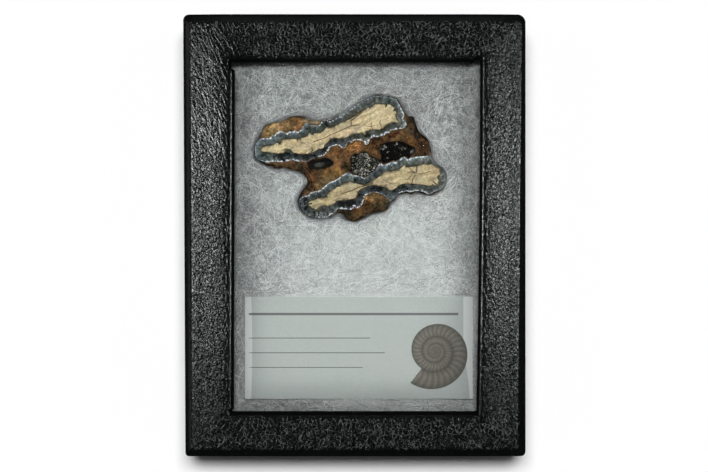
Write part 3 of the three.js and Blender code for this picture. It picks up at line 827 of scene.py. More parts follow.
def enamel_colours(points, depth, across, along):
    """Slate, paler outwards, with prisms across the band and an olive edge at the dentine."""
    colours = painted(points, ENAMEL_GREY, ENAMEL_PATCHES, 7)
    wandering = np.clip(across + 0.16 * rough_noise(points, 1.1, 45), 0, 1)
    profile = np.interp(wandering, ENAMEL_STOPS, ENAMEL_LEVELS)
    prisms = rough_noise(np.column_stack([along, 0.3 * depth]), 0.4, 43)
    level = prisms + rough_noise(points, 0.6, 47)
    colours *= (profile * np.exp(level - 0.1))[:, None]
    colours *= np.exp(np.outer(wandering - 0.45, (0.12, 0.0, -0.3))) * (0.98, 1.02, 1.04)
    flecks = rough_noise(np.column_stack([along, 0.6 * depth]), 0.5, 49)
    broken = strongest(points, FLECKS, 0.3 * rough_noise(points, 0.8, 53))
    for fleck, start, full in ((FLECK_WHITE, 0.12, 0.3), (FLECK_BLACK, -0.14, -0.3)):
        share = broken * smooth_step(flecks, start, full)
        colours = mix(colours, linear(*fleck), share[:, None])
    olive = 0.8 * smooth_step(across, 0.84, 1)
    return mix(colours, linear(*ENAMEL_OLIVE), olive[:, None])


def dentine_colours(points, core_depth, in_upper):
    """Cream, streaked along the tooth, mottled and dark along its edge."""
    patched = painted(points, DENTINE_CREAM, DENTINE_PATCHES, 9, 0.5)
    colours = mix(linear(*DENTINE_CREAM), patched, 0.6)
    along_upper, along_lower = (streaks(points, turn, 2.4, 0.42, 61) for turn in DENTINE_TURNS)
    level = 0.5 * np.where(in_upper, along_upper, along_lower)
    level = level + 0.45 * rough_noise(points, 0.45, 63) + 0.12 * rough_noise(points, 1.6, 65)
    colours *= np.exp(level)[:, None] * (1.07, 1.04, 1.03)
    colours *= np.where(in_upper, *DENTINE_LEVELS)[:, None]
    colours *= np.exp(np.outer(0.08 * rough_noise(points, 1.4, 67), (1, 0, -1.3)))
    edge = 0.75 * smooth_step(core_depth + 0.3 * noise(points, 0.55, 69), 0.3, 0.05)
    return mix(colours, linear(*DENTINE_EDGE), edge[:, None])


def slice_marks(points, within_pit):
    """The numbers and colours that the slice's finish is painted with, at points of its faces."""
    upper_depth, upper_core, upper_along = enamel_place(points, UPPER_ENAMEL, UPPER_DENTINE)
    lower_depth, lower_core, lower_along = enamel_place(points, LOWER_ENAMEL, LOWER_DENTINE)
    in_upper = upper_depth > lower_depth
    depth = np.maximum(upper_depth, lower_depth)
    core = np.maximum(upper_core, lower_core)
    along = np.where(in_upper, upper_along, lower_along + LOWER_ENAMEL_START)
    across = np.clip(depth / np.maximum(depth - np.minimum(core, 0), 1e-6), 0, 1)
    crack = np.full(len(points), OUTSIDE)
    for line, width in CRACKS:
        distance = nearest_on(points, line, closed=False)[0]
        crack = np.maximum(crack, width / 2 - distance)
    rim = np.full(len(points), RIM_ELSEWHERE)
    ragged = 0.35 * rough_noise(points, 1.6, 75)
    for patch in RIM_PLACES:
        rim = mix(rim, patch[5], patch_share(points, patch, ragged))
    to_edge = depth_inside(points, closed_curve(SLICE_OUTLINE))
    # painted shade: the face darkens close to the slice's outline, most along the listed edges
    black = strongest(points, PAINTED_OUTLINE_SHADE, 0.4 * rough_noise(points, 1, 55))
    shaded_width = 0.2 + 0.4 * black
    shade = smooth_step((to_edge + 0.14 * noise(points, 0.5, 77)) / shaded_width, 0.1, 1)
    shade = SLICE_EXPOSURE * mix(0.3 - 0.25 * black, 1, shade)[:, None]
    floor_share = patch_share(points, OVAL_FLOOR, 0.15 * noise(points, 0.6, 79))
    return {
        "enamel_depth": depth,
        "enamel_along": along,
        "core_depth": core,
        "crack_depth": crack,
        "rim": rim,
        "pit": mix(linear(*PIT_BLACK), linear(*PIT_GREY), floor_share[:, None]),
        "cement": shade * cement_colours(points, depth, within_pit, to_edge),
        "enamel": shade * enamel_colours(points, depth, across, along),
        "dentine": shade * dentine_colours(points, core, in_upper),
    }


def slice_finish():
    """Polished stone in the colours stored in the mesh, with fine speckle, rims and cracks."""
    f = Finish("slice_polished", CEMENT_BROWN, 0.2, Specular_IOR_Level=0.35)
    fine = f.noise(0.3, 3, 0.6)
    speckle = f.ramp(fine, [(0.3, (170, 166, 160)), (0.56, (255, 255, 255))])
    cement, enamel, dentine = (
        f.mix(share, f.stored(name, "Color"), speckle, "MULTIPLY")
        for name, share in (("cement", 1.0), ("enamel", 1.0), ("dentine", 0.6))
    )

    # the enamel's ragged white rim
    along = f.node("CombineXYZ", {"X": f.stored("enamel_along")}).outputs[0]
    lines, teeth = (
        f.node("TexNoise", {"Vector": along, "Scale": scale, "Detail": 3.0}).outputs["Fac"]
        for scale in (1.8, 1.2)
    )
    depth = f.stored("enamel_depth")
    rim = f.stored("rim")
    rim_width = f.math("MULTIPLY", rim, f.range(teeth, 0.38, 0.6, 0.0, 0.5))
    rim_share = f.range(f.math("SUBTRACT", rim_width, depth), -0.06, 0.06)
    rim_share = f.math("MULTIPLY", rim_share, f.range(lines, 0.4, 0.54, 0.08, 1))
    rim_share = f.math("MULTIPLY", rim_share, f.range(rim, 0.15, 0.8, 0.3, 1))
    enamel = f.mix(rim_share, enamel, rgba(164, 172, 178))

    wander = f.range(fine, 0.2, 0.8, -0.05, 0.05, False)
    crack = f.range(f.math("ADD", f.stored("crack_depth"), wander), -0.12, 0.05)
    dentine = f.mix(f.math("MULTIPLY", crack, 0.92), dentine, rgba(34, 26, 14))

    # cement, then enamel, dentine, the pits' floors and the rough side, one over the other
    ragged = f.range(fine, 0.2, 0.8, -0.07, 0.07, False)
    in_enamel = f.range(f.math("ADD", depth, ragged), -0.06, 0.06)
    in_core = f.range(f.math("ADD", f.stored("core_depth"), ragged), -0.08, 0.08)
    in_pit = f.range(f.stored("pit_depth"), -0.12, 0.12)
    side = f.stored("side")
    # painted shade: the rough side is darkened so that it draws a black line round the slice
    rough_side_and_shade = f.mix(f.noise(1.4, 3, 0.6), rgba(10, 9, 8), rgba(48, 38, 28))
    colour = cement
    pit = f.stored("pit", "Color")
    for share, over in ((in_enamel, enamel), (in_core, dentine), (in_pit, pit), (side, rough_side_and_shade)):
        colour = f.mix(share, colour, over)
    f.colour(colour)
    f.roughness(f.math("MULTIPLY_ADD", side, 0.5, f.range(fine, 0.3, 0.7, 0.16, 0.26)))
    f.bump(f.math("SUBTRACT", fine, f.math("MULTIPLY", crack, 0.8)), 0.015, 0.4)
    return f.material


def crystal_finish(name, roughness, shine):
    """Each crystal is as pale as its stored tone says."""
    f = Finish(name, (60, 60, 56), roughness, Specular_IOR_Level=shine)
    f.colour(f.mix(f.stored("tone"), rgba(3, 3, 2), rgba(188, 188, 176)))
    return f.material


def side_rings(line):
    """Rings of points down the slice's rough side, between the borders of its two faces."""
    tangent = np.roll(line, -2, 0) - np.roll(line, 2, 0)
    outward = np.column_stack([tangent[:, 1], -tangent[:, 0]])
    outward /= np.linalg.norm(outward, axis=1)[:, None]
    thickness = SLICE_HIGH[2] - SLICE_LOW[2]
    rings = []
    for layer in range(1, SIDE_LAYERS):
        below = layer / SIDE_LAYERS
        z = np.full(len(line), SLICE_HIGH[2] - thickness * below)
        ring = line * (1 - BOTTOM_SHRINK * below**2)
        spot = np.column_stack([ring, z])
        bulge = 0.34 * rough_noise(spot, 2.2, 51) + 0.1 * rough_noise(spot, 0.8, 57)
        bulge = bulge * math.sin(math.pi * below) ** 0.5 - 0.12 * math.sin(math.pi * below)
        rings.append(np.column_stack([ring + outward * bulge[:, None], z]))
    return rings


def molar_slice():
    flat, squares = slice_grid()
    count = len(flat)
    fall, within_pit = pit_depth(flat)
    loops = border_loops(squares)
    border = np.array(loops[0])
    on_border = np.isin(np.arange(count), np.concatenate(loops))

    rounding = 0.05 * smooth_step(depth_inside(flat, closed_curve(SLICE_OUTLINE)), 0.25, 0)
    scratch = np.where(on_border, 0, 0.012 * noise(flat, 0.7, 41) - 0.012)
    top = np.column_stack([flat, SLICE_HIGH[2] - fall - rounding + scratch])
    bottom = np.column_stack([flat * (1 - BOTTOM_SHRINK), np.full(count, SLICE_LOW[2])])
    side = np.vstack(side_rings(flat[border]))
    points = np.vstack([top, bottom, side])
    side_numbers = 2 * count + np.arange(len(side)).reshape(-1, len(border))
    walls = ring_walls(np.vstack([border, side_numbers, border + count]))

    # each list of faces, with 0 for polished stone, 1 for grey crystals or 2 for dark ones
    faces4, faces3 = [(squares, 0), (squares[:, ::-1] + count, 0), (walls, 0)], []
    tone = [np.zeros(len(points))]
    for kind, bed in enumerate(CRYSTAL_BEDS, 1):
        added, prisms, tips, paleness = crystals_in(*bed)
        faces4.append((prisms + len(points), kind))
        faces3.append((tips + len(points), kind))
        points = np.vstack([points, added])
        tone.append(paleness)
    kinds = np.concatenate([np.full(len(faces), kind) for faces, kind in faces4 + faces3])
    faces = [np.vstack([rows for rows, _ in group]) for group in (faces4, faces3)]
    points[:, :2] += SLICE_CENTRE
    materials = [
        slice_finish(),
        crystal_finish("crystals_grey", 0.15, 0.25),
        crystal_finish("crystals_dark", 0.5, 0.04),
    ]
    made = new_object("molar_slice_polished", points, faces, materials, face_materials=kinds)
    made.data.polygons.foreach_set("use_smooth", kinds == 0)

    give_value(made, "tone", np.concatenate(tone))
    rest = len(points) - 2 * count - len(side)
    for name, values in slice_marks(flat, within_pit).items():
        rings = [values[border]] * (SIDE_LAYERS - 1)
        values = np.concatenate([values, values, *rings, np.zeros((rest, *values.shape[1:]))])
        give = give_value if values.ndim == 1 else give_colour
        give(made, name, values)
    beyond = np.full(len(points) - count, OUTSIDE)
    give_value(made, "pit_depth", np.concatenate([within_pit, beyond]))
    give_value(made, "side", np.repeat([0, 1, 0], [2 * count, len(side), rest]))
    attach(made, "root")
    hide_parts("molar_slice")
    return made


# ======== the lid ========
LID_COLUMNS, LID_ROWS = 230, 300  # points along a short and a long side of each ring
ARC_POINTS = 8  # points round each corner of a ring
LID_RIM = 0.5  # height of the lid's lower edge above the floor
LID_UNDERSIDE = GLASS_HIGH[2] + 0.02
LID_TOP = round(LID_HIGH[2], 2) - 0.01
WINDOW_REACH = 42.0  # half of the window's length, which its side edges lean along
CASE_REACH = 54.0  # half of the case's length, which its left side leans along

# One row for each ring round the window, from its edge outwards: left, right, bottom, top, height.
WINDOW_RINGS = [
    (-29.3, 30.45, -42.92, 42.2, LID_UNDERSIDE),
    (-29.33, 30.48, -42.96, 42.25, 17.65),
    (-29.45, 30.58, -43.15, 42.4, 18.1),
    (-29.62, 30.74, -43.42, 42.6, 18.45),
    (-29.8, 30.9, -43.64, 42.78, 18.72),
    (-29.95, 31.05, -43.8, 42.92, 18.84),
    (-30.25, 31.35, -44, 43.12, 18.92),
    (-30.55, 31.65, -44.25, 43.4, 18.985),
    (-30.8, 31.9, -44.5, 43.65, 18.985),
    (-31.25, 32.35, -44.9, 44, LID_TOP),
    (-31.8, 32.9, -45.4, 44.5, 18.965),
]
WINDOW_GRAIN = 3 * (0,) + 6 * (0.5,) + 2 * (0.8,)  # how strong the grain is on each of them
WALL_RINGS = 5  # strips between the first of them, which are the board's bare cut edge

# Left, right, bottom and top of the face, of the whole case and of the lid's inside.
FACE_EDGE = (-39.68, 40.3, -51.9, 51.8)
CASE_EDGE = (-41.6, 41.85, -54, 54)
LID_INSIDE = (-40, 40, -52.5, 52.5)
# Radii of their corners: upper left, upper right, lower right, lower left.
WINDOW_RADII = (0.35, 0.35, 0.35, 0.35)
FACE_RADII = (0.6, 0.7, 0.6, 0.5)
CASE_RADII = (1.4, 2.0, 1.2, 0.8)
INSIDE_RADII = (0.5, 0.5, 0.5, 0.5)

FACE_RINGS, BAND_RINGS, SIDE_RINGS = 30, 8, 22  # on the face, its rounded edge and the side
FACE_HEIGHT = 18.78
BAND_DROP = 1.4  # how far the rounded edge falls
BOW_START, BOW_WIDTH, BOW_DROP = 31.5, 8.5, 0.75  # the slope of the face's long sides
# The real lid's edges aren't parallel: how far each lies to the right at the upper end.
WINDOW_LEANS = (0.13, 0.465)  # the window's left and right edge
WINDOW_CURVE = -0.21  # the curve of its right edge
CASE_LEAN, FACE_LEAN = -0.28, 0.6  # the case's left edge and the face's right edge
# Where the paper is cut back at the window's left corners: from where to where, and how far.
CUTS = ((40.2, 40.6, 0.9), (-42.3, -42.7, 0.5))
RELIEF = 0.02  # depth of the grain in the mesh
BUMP, GRAIN_SIZE = 0.12, 1.0  # depth and size of the grain in the finish


def ring(left, right, bottom, top, radii):
    """Points round a rectangle with rounded corners, anticlockwise from its lower left."""
    upper_left, upper_right, lower_right, lower_left = radii

    def arc(x, y, radius, start):
        angle = np.radians(start + np.linspace(0, 90, ARC_POINTS))
        return np.column_stack([x + radius * np.cos(angle), y + radius * np.sin(angle)])

    def side(start, end, count):
        share = (np.arange(count)[:, None] + 0.5) / count
        return np.array(start) + (np.array(end) - np.array(start)) * share

    return np.vstack([
        arc(left + lower_left, bottom + lower_left, lower_left, 180),
        side((left + lower_left, bottom), (right - lower_right, bottom), LID_COLUMNS),
        arc(right - lower_right, bottom + lower_right, lower_right, 270),
        side((right, bottom + lower_right), (right, top - upper_right), LID_ROWS),
        arc(right - upper_right, top - upper_right, upper_right, 0),
        side((right - upper_right, top), (left + upper_left, top), LID_COLUMNS),
        arc(left + upper_left, top - upper_left, upper_left, 90),
        side((left, top - upper_left), (left, bottom + lower_left), LID_ROWS),
    ])


def lean_of(x, y, window, case, face):
    """How far a ring's points are moved sideways.

    window, case and face say how far the ring leans as the window, the case or the face does.
    """
    along = y / WINDOW_REACH
    left, right = WINDOW_LEANS
    on_left = x < 0
    lean = np.where(on_left, left * along, right * along + WINDOW_CURVE * along**2) * window
    lean += np.where(on_left, CASE_LEAN * y / CASE_REACH, 0) * case
    lean += np.where(on_left, 0, FACE_LEAN * y / CASE_REACH) * face
    for start, end, width in CUTS:
        lean -= width * window * smooth_step(y, start, end) * smooth_step(x, -28, -29)
    return lean


def lid_rings():
    """The lid's rings, each an array of points, with the grain's strength on each, from 0 to 1."""
    rings, grain = [], []

    def add(edges, height, radii, strength, window=0.0, case=0.0, face=0.0, bow=0.0):
        x, y = ring(*edges, radii).T
        lean = lean_of(x, y, window, case, face)
        # the window's upper right corner reaches a little further up
        y = y + 0.6 * window * smooth_step(x, 28.8, 29.2) * smooth_step(y, 40, 41)
        x = x + lean
        drop = BOW_DROP * np.clip((np.abs(x) - BOW_START) / BOW_WIDTH, 0, 1.1) ** 1.45
        rings.append(np.column_stack([x, y, float(height) - drop * bow]))
        grain.append(np.full(len(x), strength))

    def between(a, b, share):
        return tuple(mix(p, q, share) for p, q in zip(a, b))

    for (*edges, height), strength in zip(WINDOW_RINGS, WINDOW_GRAIN):
        add(edges, height, WINDOW_RADII, strength, window=1, bow=1)
    *inner, inner_height = WINDOW_RINGS[-1]
    for i in range(1, FACE_RINGS + 1):
        t = i / FACE_RINGS
        height = mix(inner_height, FACE_HEIGHT, min(1, 1.6 * t))
        radii = between(WINDOW_RADII, FACE_RADII, t)
        add(between(inner, FACE_EDGE, t), height, radii, 1, window=1 - t, case=t, face=t, bow=1)
    for i in range(1, BAND_RINGS + 1):
        t = i / BAND_RINGS
        height = FACE_HEIGHT - BAND_DROP * (0.72 * t + 0.28 * t**6)
        edges, radii = between(FACE_EDGE, CASE_EDGE, t), between(FACE_RADII, CASE_RADII, t)
        strength = 0.6 if i < 2 else 0.2
        add(edges, height, radii, strength, case=1, face=1 - t, bow=1)
    for i in range(1, SIDE_RINGS + 1):
        t = i / SIDE_RINGS
        height = mix(FACE_HEIGHT - BAND_DROP, LID_RIM, t)
        strength = 0.7 if 1 < i < SIDE_RINGS - 1 else 0
        add(CASE_EDGE, height, CASE_RADII, strength, case=1, bow=1 - t)
    # the lower edge, the inner wall and the underside of the face
    for t in (0.12, 0.5, 0.88):
        height = LID_RIM - 0.18 * math.sin(math.pi * t) + 0.18
        add(between(CASE_EDGE, LID_INSIDE, t), height, CASE_RADII, 0, case=1 - t)
    for height in (LID_RIM + 0.2, 6, 12, LID_UNDERSIDE):
        add(LID_INSIDE, height, INSIDE_RADII, 0)
    for t in (0.3, 0.65, 0.95):
        edges = between(LID_INSIDE, WINDOW_RINGS[0][:4], t)
        add(edges, LID_UNDERSIDE, INSIDE_RADII, 0, window=t)
    return np.array(rings), np.array(grain)


def leather_height(points):
    """Height of the pebbled grain at each point, from 0 in its creases to 1."""
    first, second = pebbles(points * (1, 0.75, 1), 0.95, 11)
    return smooth_step(second - first, 0, 0.45) * (1 - 0.35 * first)


def streaked_share(points):
    """Where the grain runs in slanting streaks: the upper end of the lid's left side."""
    on_left = smooth_step(points[:, 0] + 2 * noise(points, 6, 7), -24, -30)
    return on_left * smooth_step(points[:, 1] + 8 * noise(points, 9, 5), 2, 22)


def painted_glint_share(points):
    """Painted highlights in the creases: most at the lid's two ends and in the streaked part."""
    at_ends = smooth_step(np.abs(points[:, 1]) + 2 * noise(points, 5, 9), 42, 45)
    on_top = smooth_step(points[:, 2], 16, 17.5)
    return np.maximum(0.2, on_top * np.maximum(at_ends, 0.5 * streaked_share(points)))


def leatherette_finish():
    """Black pebbled grain, with painted highlights as pale specks and pale lines in creases."""
    f = Finish("leatherette", (6, 6, 6), 0.25, Specular_IOR_Level=0.5)
    place = f.place()
    wander = f.node("TexNoise", {"Vector": place, "Scale": 1 / (1.2 * MM), "Detail": 2.0})
    inputs = {0: wander.outputs["Color"], 1: (0.8 * MM, 0.8 * MM, 0.8 * MM), 2: place}
    bent = f.node("VectorMath", inputs, operation="MULTIPLY_ADD").outputs[0]
    distances = []
    for vector, turn, stretch in ((bent, 0, 1.3), (place, 24, 3.6)):
        inputs = {
            "Vector": vector,
            "Rotation": (0, 0, math.radians(turn)),
            "Scale": (1, stretch, 1),
        }
        cells = f.node("Mapping", inputs, vector_type="TEXTURE").outputs[0]
        inputs = {"Vector": cells, "Scale": 1 / (GRAIN_SIZE * MM)}
        edge = f.node("TexVoronoi", inputs, feature="DISTANCE_TO_EDGE")
        distances.append(edge.outputs["Distance"])
    plain, streaked = distances
    change = f.math("MULTIPLY", f.stored("streaked"), f.math("SUBTRACT", streaked, plain))
    to_crease = f.math("ADD", plain, change)
    pebble = f.range(to_crease, 0.02, 0.18)
    fine = f.noise(0.4, 1, 0.5)
    height = f.math("MULTIPLY_ADD", pebble, 0.42, f.math("MULTIPLY", fine, 0.55))
    grain = f.stored("grain")
    f.bump(f.math("MULTIPLY", height, grain), BUMP)

    worn = f.mix(f.range(f.noise(5, 3), 0.35, 0.7), rgba(2, 3, 3), rgba(5, 6, 6))
    # painted highlights: pale specks on the grain and pale lines in its creases stand in for
    # glints
    speck = f.math("MULTIPLY", f.range(f.noise(0.28, 0), 0.58, 0.74, 0, 0.45), grain)
    patchy = f.range(f.noise(1.5, 1), 0.44, 0.6)
    line = f.math("MULTIPLY", f.range(to_crease, 0.07, 0.02), patchy)
    pale = f.math("MAXIMUM", speck, f.math("MULTIPLY", line, f.stored("painted_glints")))
    f.colour(f.mix(pale, worn, rgba(66, 69, 68)))
    f.roughness(f.range(fine, 0.3, 0.7, 0.17, 0.22))
    return f.material


def cut_edge_finish():
    """The matt black edge of the board and paper round the window."""
    f = Finish("leatherette_cut_edge", (4, 4, 4), 0.9, Specular_IOR_Level=0.1)
    f.bump(f.noise(0.5, 3), 0.03, 0.5)
    return f.material


def lid():
    rings, grain = lid_rings()
    along = np.roll(rings, -1, 1) - np.roll(rings, 1, 1)
    across = np.roll(rings, -1, 0) - np.roll(rings, 1, 0)
    normal = np.cross(across, along)
    normal /= np.maximum(np.linalg.norm(normal, axis=2), 1e-9)[:, :, None]
    points, normal, strength = rings.reshape(-1, 3), normal.reshape(-1, 3), grain.ravel()
    points = points + normal * (RELIEF * (leather_height(points) - 1) * strength)[:, None]
    points[:, 2] = np.minimum(points[:, 2], LID_TOP)
    numbers = np.arange(len(points)).reshape(grain.shape)
    faces = ring_walls(np.vstack([numbers, numbers[:1]]))
    on_wall = np.arange(len(faces)) < WALL_RINGS * grain.shape[1]
    finishes = [leatherette_finish(), cut_edge_finish()]
    made = new_object(
        "lid_leatherette", points, [faces], finishes, face_materials=on_wall.astype(int)
    )
    streaked = streaked_share(points)
    give_value(made, "grain", strength * (1 - 0.2 * streaked))
    give_value(made, "streaked", 0.8 * streaked)
    give_value(made, "painted_glints", painted_glint_share(points) * (strength > 0.5))
    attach(made, "root")
    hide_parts("lid")
    return made


# ======== glass, tray and pins, which keep their CAD meshes ========
def glass_finish():
    """A clear pane that mirrors a little, more so at a slant."""
    f = Finish("glass_pane", (255, 255, 255), 0.0, Metallic=1.0)
    clear = f.node("BsdfTransparent", {"Color": rgba(252, 252, 252)}).outputs[0]
    slant = f.node("LayerWeight", {"Blend": 0.5}).outputs["Facing"]  # the same from inside
    mirrored = f.math("MULTIPLY_ADD", f.math("POWER", slant, 5), 0.8, 0.034)
    blend = f.node("MixShader", {0: mirrored, 1: clear, 2: f.shader.outputs[0]})
    f.feed(blend.outputs[0], f.output.inputs["Surface"])
    return f.material


def tray_finish():
    """Black paper over board."""
    f = Finish("tray_board_paper", (20, 20, 20), 0.7)
    fibres = f.noise(0.5, 4, 0.7)
    f.colour(f.mix(f.range(fibres, 0.3, 0.7), rgba(15, 15, 15), rgba(30, 30, 29)))
    f.bump(fibres, 0.02, 0.5)
    return f.material


def pin_finish():
    """Nickel with fine lines along the drawn wire."""
    f = Finish("pin_nickel", (196, 198, 202), 0.22, Metallic=1.0)
    drawn = f.node("Mapping", {"Vector": f.place(), "Scale": (0.1, 1, 1)}).outputs[0]
    f.roughness(f.range(f.noise(0.12, 2, 0.5, drawn), 0.3, 0.7, 0.16, 0.34))
    return f.material


def dress(node, material):
    """Gives a CAD node's mesh another material."""
    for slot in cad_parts[node].material_slots:
        slot.material = material


# ======== the batting ========
PAD_STEP = 0.6  # spacing of the points on the padding
PAD_TOP = 14.55  # the padding's height where it is loose, before its hollows are taken off
SEAT_GAP = 0.3  # between the padding and the slice that lies on it
FIBRES_EACH = 5200
# more dark fibres are kept at the window's edges, which paints shade there
FIBRE_KINDS = [  # colour, and the share that is kept at the edges and in the pressed middle
    ((180, 186, 184), 0.9, 1.0),
    ((116, 119, 119), 0.9, 0.12),
    ((222, 228, 226), 0.6, 0.8),
]
FIBRE_STEPS = 7  # points along a fibre
FIBRE_LENGTHS = (2.5, 8.5)
FIBRE_RISE = (0.05, 0.45)  # how far fibres lie above the padding
FIBRE_SEED, RADIUS_SEED = 100, 200  # those of the first piece
GLASS_CLEARANCE = 0.06  # between the middle of a fibre and the glass
VIEW_LOW = np.array([-30.4, -43.6])  # corners of what the window shows
VIEW_HIGH = np.array([31.4, 42.6])


def slice_distance(points):
    """Distance from each point of the case to the slice's outline, negative under the slice."""
    return -depth_inside(points[:, :2] - SLICE_CENTRE, closed_curve(SLICE_OUTLINE, 2))


def label_distance(points):
    """Distance from each point to the label's edge, negative under the label."""
    middle = (LABEL_LOW[:2] + LABEL_HIGH[:2]) / 2
    half = (LABEL_HIGH[:2] - LABEL_LOW[:2]) / 2
    beyond = np.abs(points[:, :2] - middle) - half
    return np.where(beyond.max(1) < 0, beyond.max(1), np.hypot(*np.maximum(beyond, 0).T))


def pressed_flat(points):
    """How far the glass presses the padding flat: 1 in the lower middle, 0 at the edges."""
    middle = np.hypot((points[:, 0] - 6) / 31, (points[:, 1] + 14) / 40)
    ragged = middle + 0.12 * rough_noise(points[:, :2], 9, 83)
    return smooth_step(ragged, 1.05, 0.45)


def padding_top(points):
    """Height of the padding's surface: near the glass, low at the walls and at the slice."""
    flat = points[:, :2]
    beside_walls = np.minimum(BATTING_HIGH[:2] + (2.5, 0) - flat, flat - BATTING_LOW[:2]).min(1)
    sunk = 1.9 * np.exp(-np.maximum(beside_walls - 6, 0) / 2.6)
    top = PAD_TOP + 0.6 * pressed_flat(points) - sunk
    # large and small tufts
    top -= 0.22 * (1 + rough_noise(flat, 5, 61))
    top -= 0.12 * (1 + noise(flat, 1.6, 67))
    # the slice sinks in, and the padding slopes down to it
    distance = slice_distance(flat)
    to_slice = np.maximum(distance, 0)
    top -= 1.0 * np.exp(-to_slice / 0.4) + 0.4 * np.exp(-to_slice / 3)
    top = np.where(distance < 0.3, np.minimum(top, SLICE_LOW[2] - SEAT_GAP), top)
    # the label keeps it down
    to_label = label_distance(flat)
    under_label = LABEL_LOW[2] - 0.1 + 0.35 * np.maximum(to_label, 0)
    return np.minimum(top, np.where(to_label < 1.6, under_label, top))


def wool_tone_and_shade(points):
    """Paleness and painted shade of the padding: 0 at the edges, 1 where the glass presses it
    flat.
    """
    # painted shade at the window's edges and in the slice's hollow
    return pressed_flat(points) * mix(0.3, 1, beside_slice(points))


def beside_slice(points):
    """0 in the hollow that the slice's side makes in the padding, 1 away from it."""
    uneven = slice_distance(points) + 0.9 * rough_noise(points[:, :2], 3, 87)
    return smooth_step(uneven, -0.5, 4.5)


def batting_finish():
    """Matted wisps, grey with painted shade in open wool, paler where the glass presses it."""
    f = Finish("batting_base", (140, 142, 141), 0.9)
    wisps = f.range(f.noise(0.7, 5, 0.75, distortion=1.4), 0.35, 0.65)
    open_wool = f.mix(wisps, rgba(119, 122, 121), rgba(177, 181, 179))
    pressed = f.mix(wisps, rgba(174, 179, 177), rgba(196, 201, 199))
    uneven = f.range(f.noise(6, 3), 0.3, 0.7, -0.15, 0.15)
    share = f.math("ADD", f.stored("pressed"), uneven, clamp=True)
    colour = f.mix(share, open_wool, pressed)
    f.colour(f.mix(f.stored("shadow"), colour, rgba(44, 45, 45)))
    f.bump(wisps, 0.25, 0.8)
    return f.material


def batting():
    low, high = BATTING_LOW, BATTING_HIGH
    columns, rows = np.round((high - low)[:2] / PAD_STEP).astype(int) + 1
    x = np.linspace(low[0], high[0], columns)
    y = np.linspace(low[1], high[1], rows)
    flat, squares, border = flat_grid(x, y)
    upper = np.column_stack([flat, padding_top(flat)])
    middle, foot = upper[border], upper[border]
    middle[:, 2] = (middle[:, 2] + low[2]) / 2
    foot[:, 2] = low[2]
    points = np.vstack([upper, middle, foot, [[0, 0, low[2]]]])
    n, last = len(border), len(points) - 1
    lower = len(upper) + np.arange(n)
    walls = ring_walls(np.vstack([border, lower, lower + n]))
    floor = np.column_stack([np.roll(lower + n, -1), lower + n, np.full(n, last)])
    faces = [np.vstack([squares, walls]), floor]
    made = new_object("batting_pad", points, faces, [batting_finish()])
    give_value(made, "pressed", wool_tone_and_shade(points))
    give_value(made, "shadow", 0.12 * (1 - beside_slice(points)))
    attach(made, "root")
    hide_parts("batting")
    return made


def fibre_lines(count, seed, share_open, share_pressed):
    """Curling lines of fibre that lie on the padding, as an array of lines of points.

    The shares say how many are kept at the window's edges and where the pad is pressed.
    """
    random = np.random.default_rng(seed)
    place = VIEW_LOW + random.random((4 * count, 2)) * (VIEW_HIGH - VIEW_LOW)
    clear = (slice_distance(place) > 0.1) & (label_distance(place) > 0.2)
    place = place[clear][:count]
    count = len(place)

    # each line wanders on from its start, a step at a time
    heading = 2 * math.pi * random.random(count)
    swirl = 0.9 * random.standard_normal(count) / FIBRE_STEPS
    length = mix(*FIBRE_LENGTHS, random.random(count))
    step = length / (FIBRE_STEPS - 1)
    above = mix(*FIBRE_RISE, random.random(count) ** 2)
    lines = np.empty((count, FIBRE_STEPS, 3))
    for i in range(FIBRE_STEPS):
        lines[:, i, :2] = place
        heading = heading + swirl * 2.2 + 0.28 * random.standard_normal(count)
        place = place + np.column_stack([np.cos(heading), np.sin(heading)]) * step[:, None]
    flat = lines[:, :, :2].reshape(-1, 2)
    height = padding_top(flat) + np.repeat(above, FIBRE_STEPS) + 0.16 * noise(flat, 1.4, seed)
    lines[:, :, 2] = height.reshape(count, FIBRE_STEPS)

    # those that cross the label or the slice, or leave the window, are dropped
    over_label = label_distance(flat) < 0.25
    over_slice = slice_distance(flat) < 0.1
    stray = ((flat < VIEW_LOW - 1.5) | (flat > VIEW_HIGH + 1.5)).any(1)
    keep = ~(over_label | over_slice | stray).reshape(count, FIBRE_STEPS).any(1)
    chance = mix(share_open, share_pressed, wool_tone_and_shade(lines[:, FIBRE_STEPS // 2]))
    keep &= random.random(count) < chance
    lines = lines[keep]
    lines[:, :, 2] = np.minimum(lines[:, :, 2], GLASS_LOW[2] - GLASS_CLEARANCE)
    return lines


def tubes(lines, radius):
    """Closed three-sided tubes along lines: their points, walls and end triangles."""
    count, steps = lines.shape[:2]
    along = np.gradient(lines, axis=1)
    along /= np.linalg.norm(along, axis=2)[:, :, None]
    beside = np.cross(along, (0, 0, 1.0))
    beside /= np.maximum(np.linalg.norm(beside, axis=2), 1e-6)[:, :, None]
    above = np.cross(beside, along)
    corners = []
    for turn in range(3):
        angle = 0.5 * math.pi + turn * 2 * math.pi / 3
        offset = math.cos(angle) * beside + math.sin(angle) * above
        corners.append(lines + offset * radius[:, None, None])
    points = np.stack(corners, axis=2)  # line, step, corner
    number = np.arange(count * steps * 3).reshape(count, steps, 3)
    here, ahead = number[:, :-1], number[:, 1:]
    walls = np.stack([here, np.roll(here, -1, 2), np.roll(ahead, -1, 2), ahead], axis=3)
    ends = np.concatenate([number[:, 0, ::-1], number[:, -1]])
    return points.reshape(-1, 3), walls.reshape(-1, 4), ends


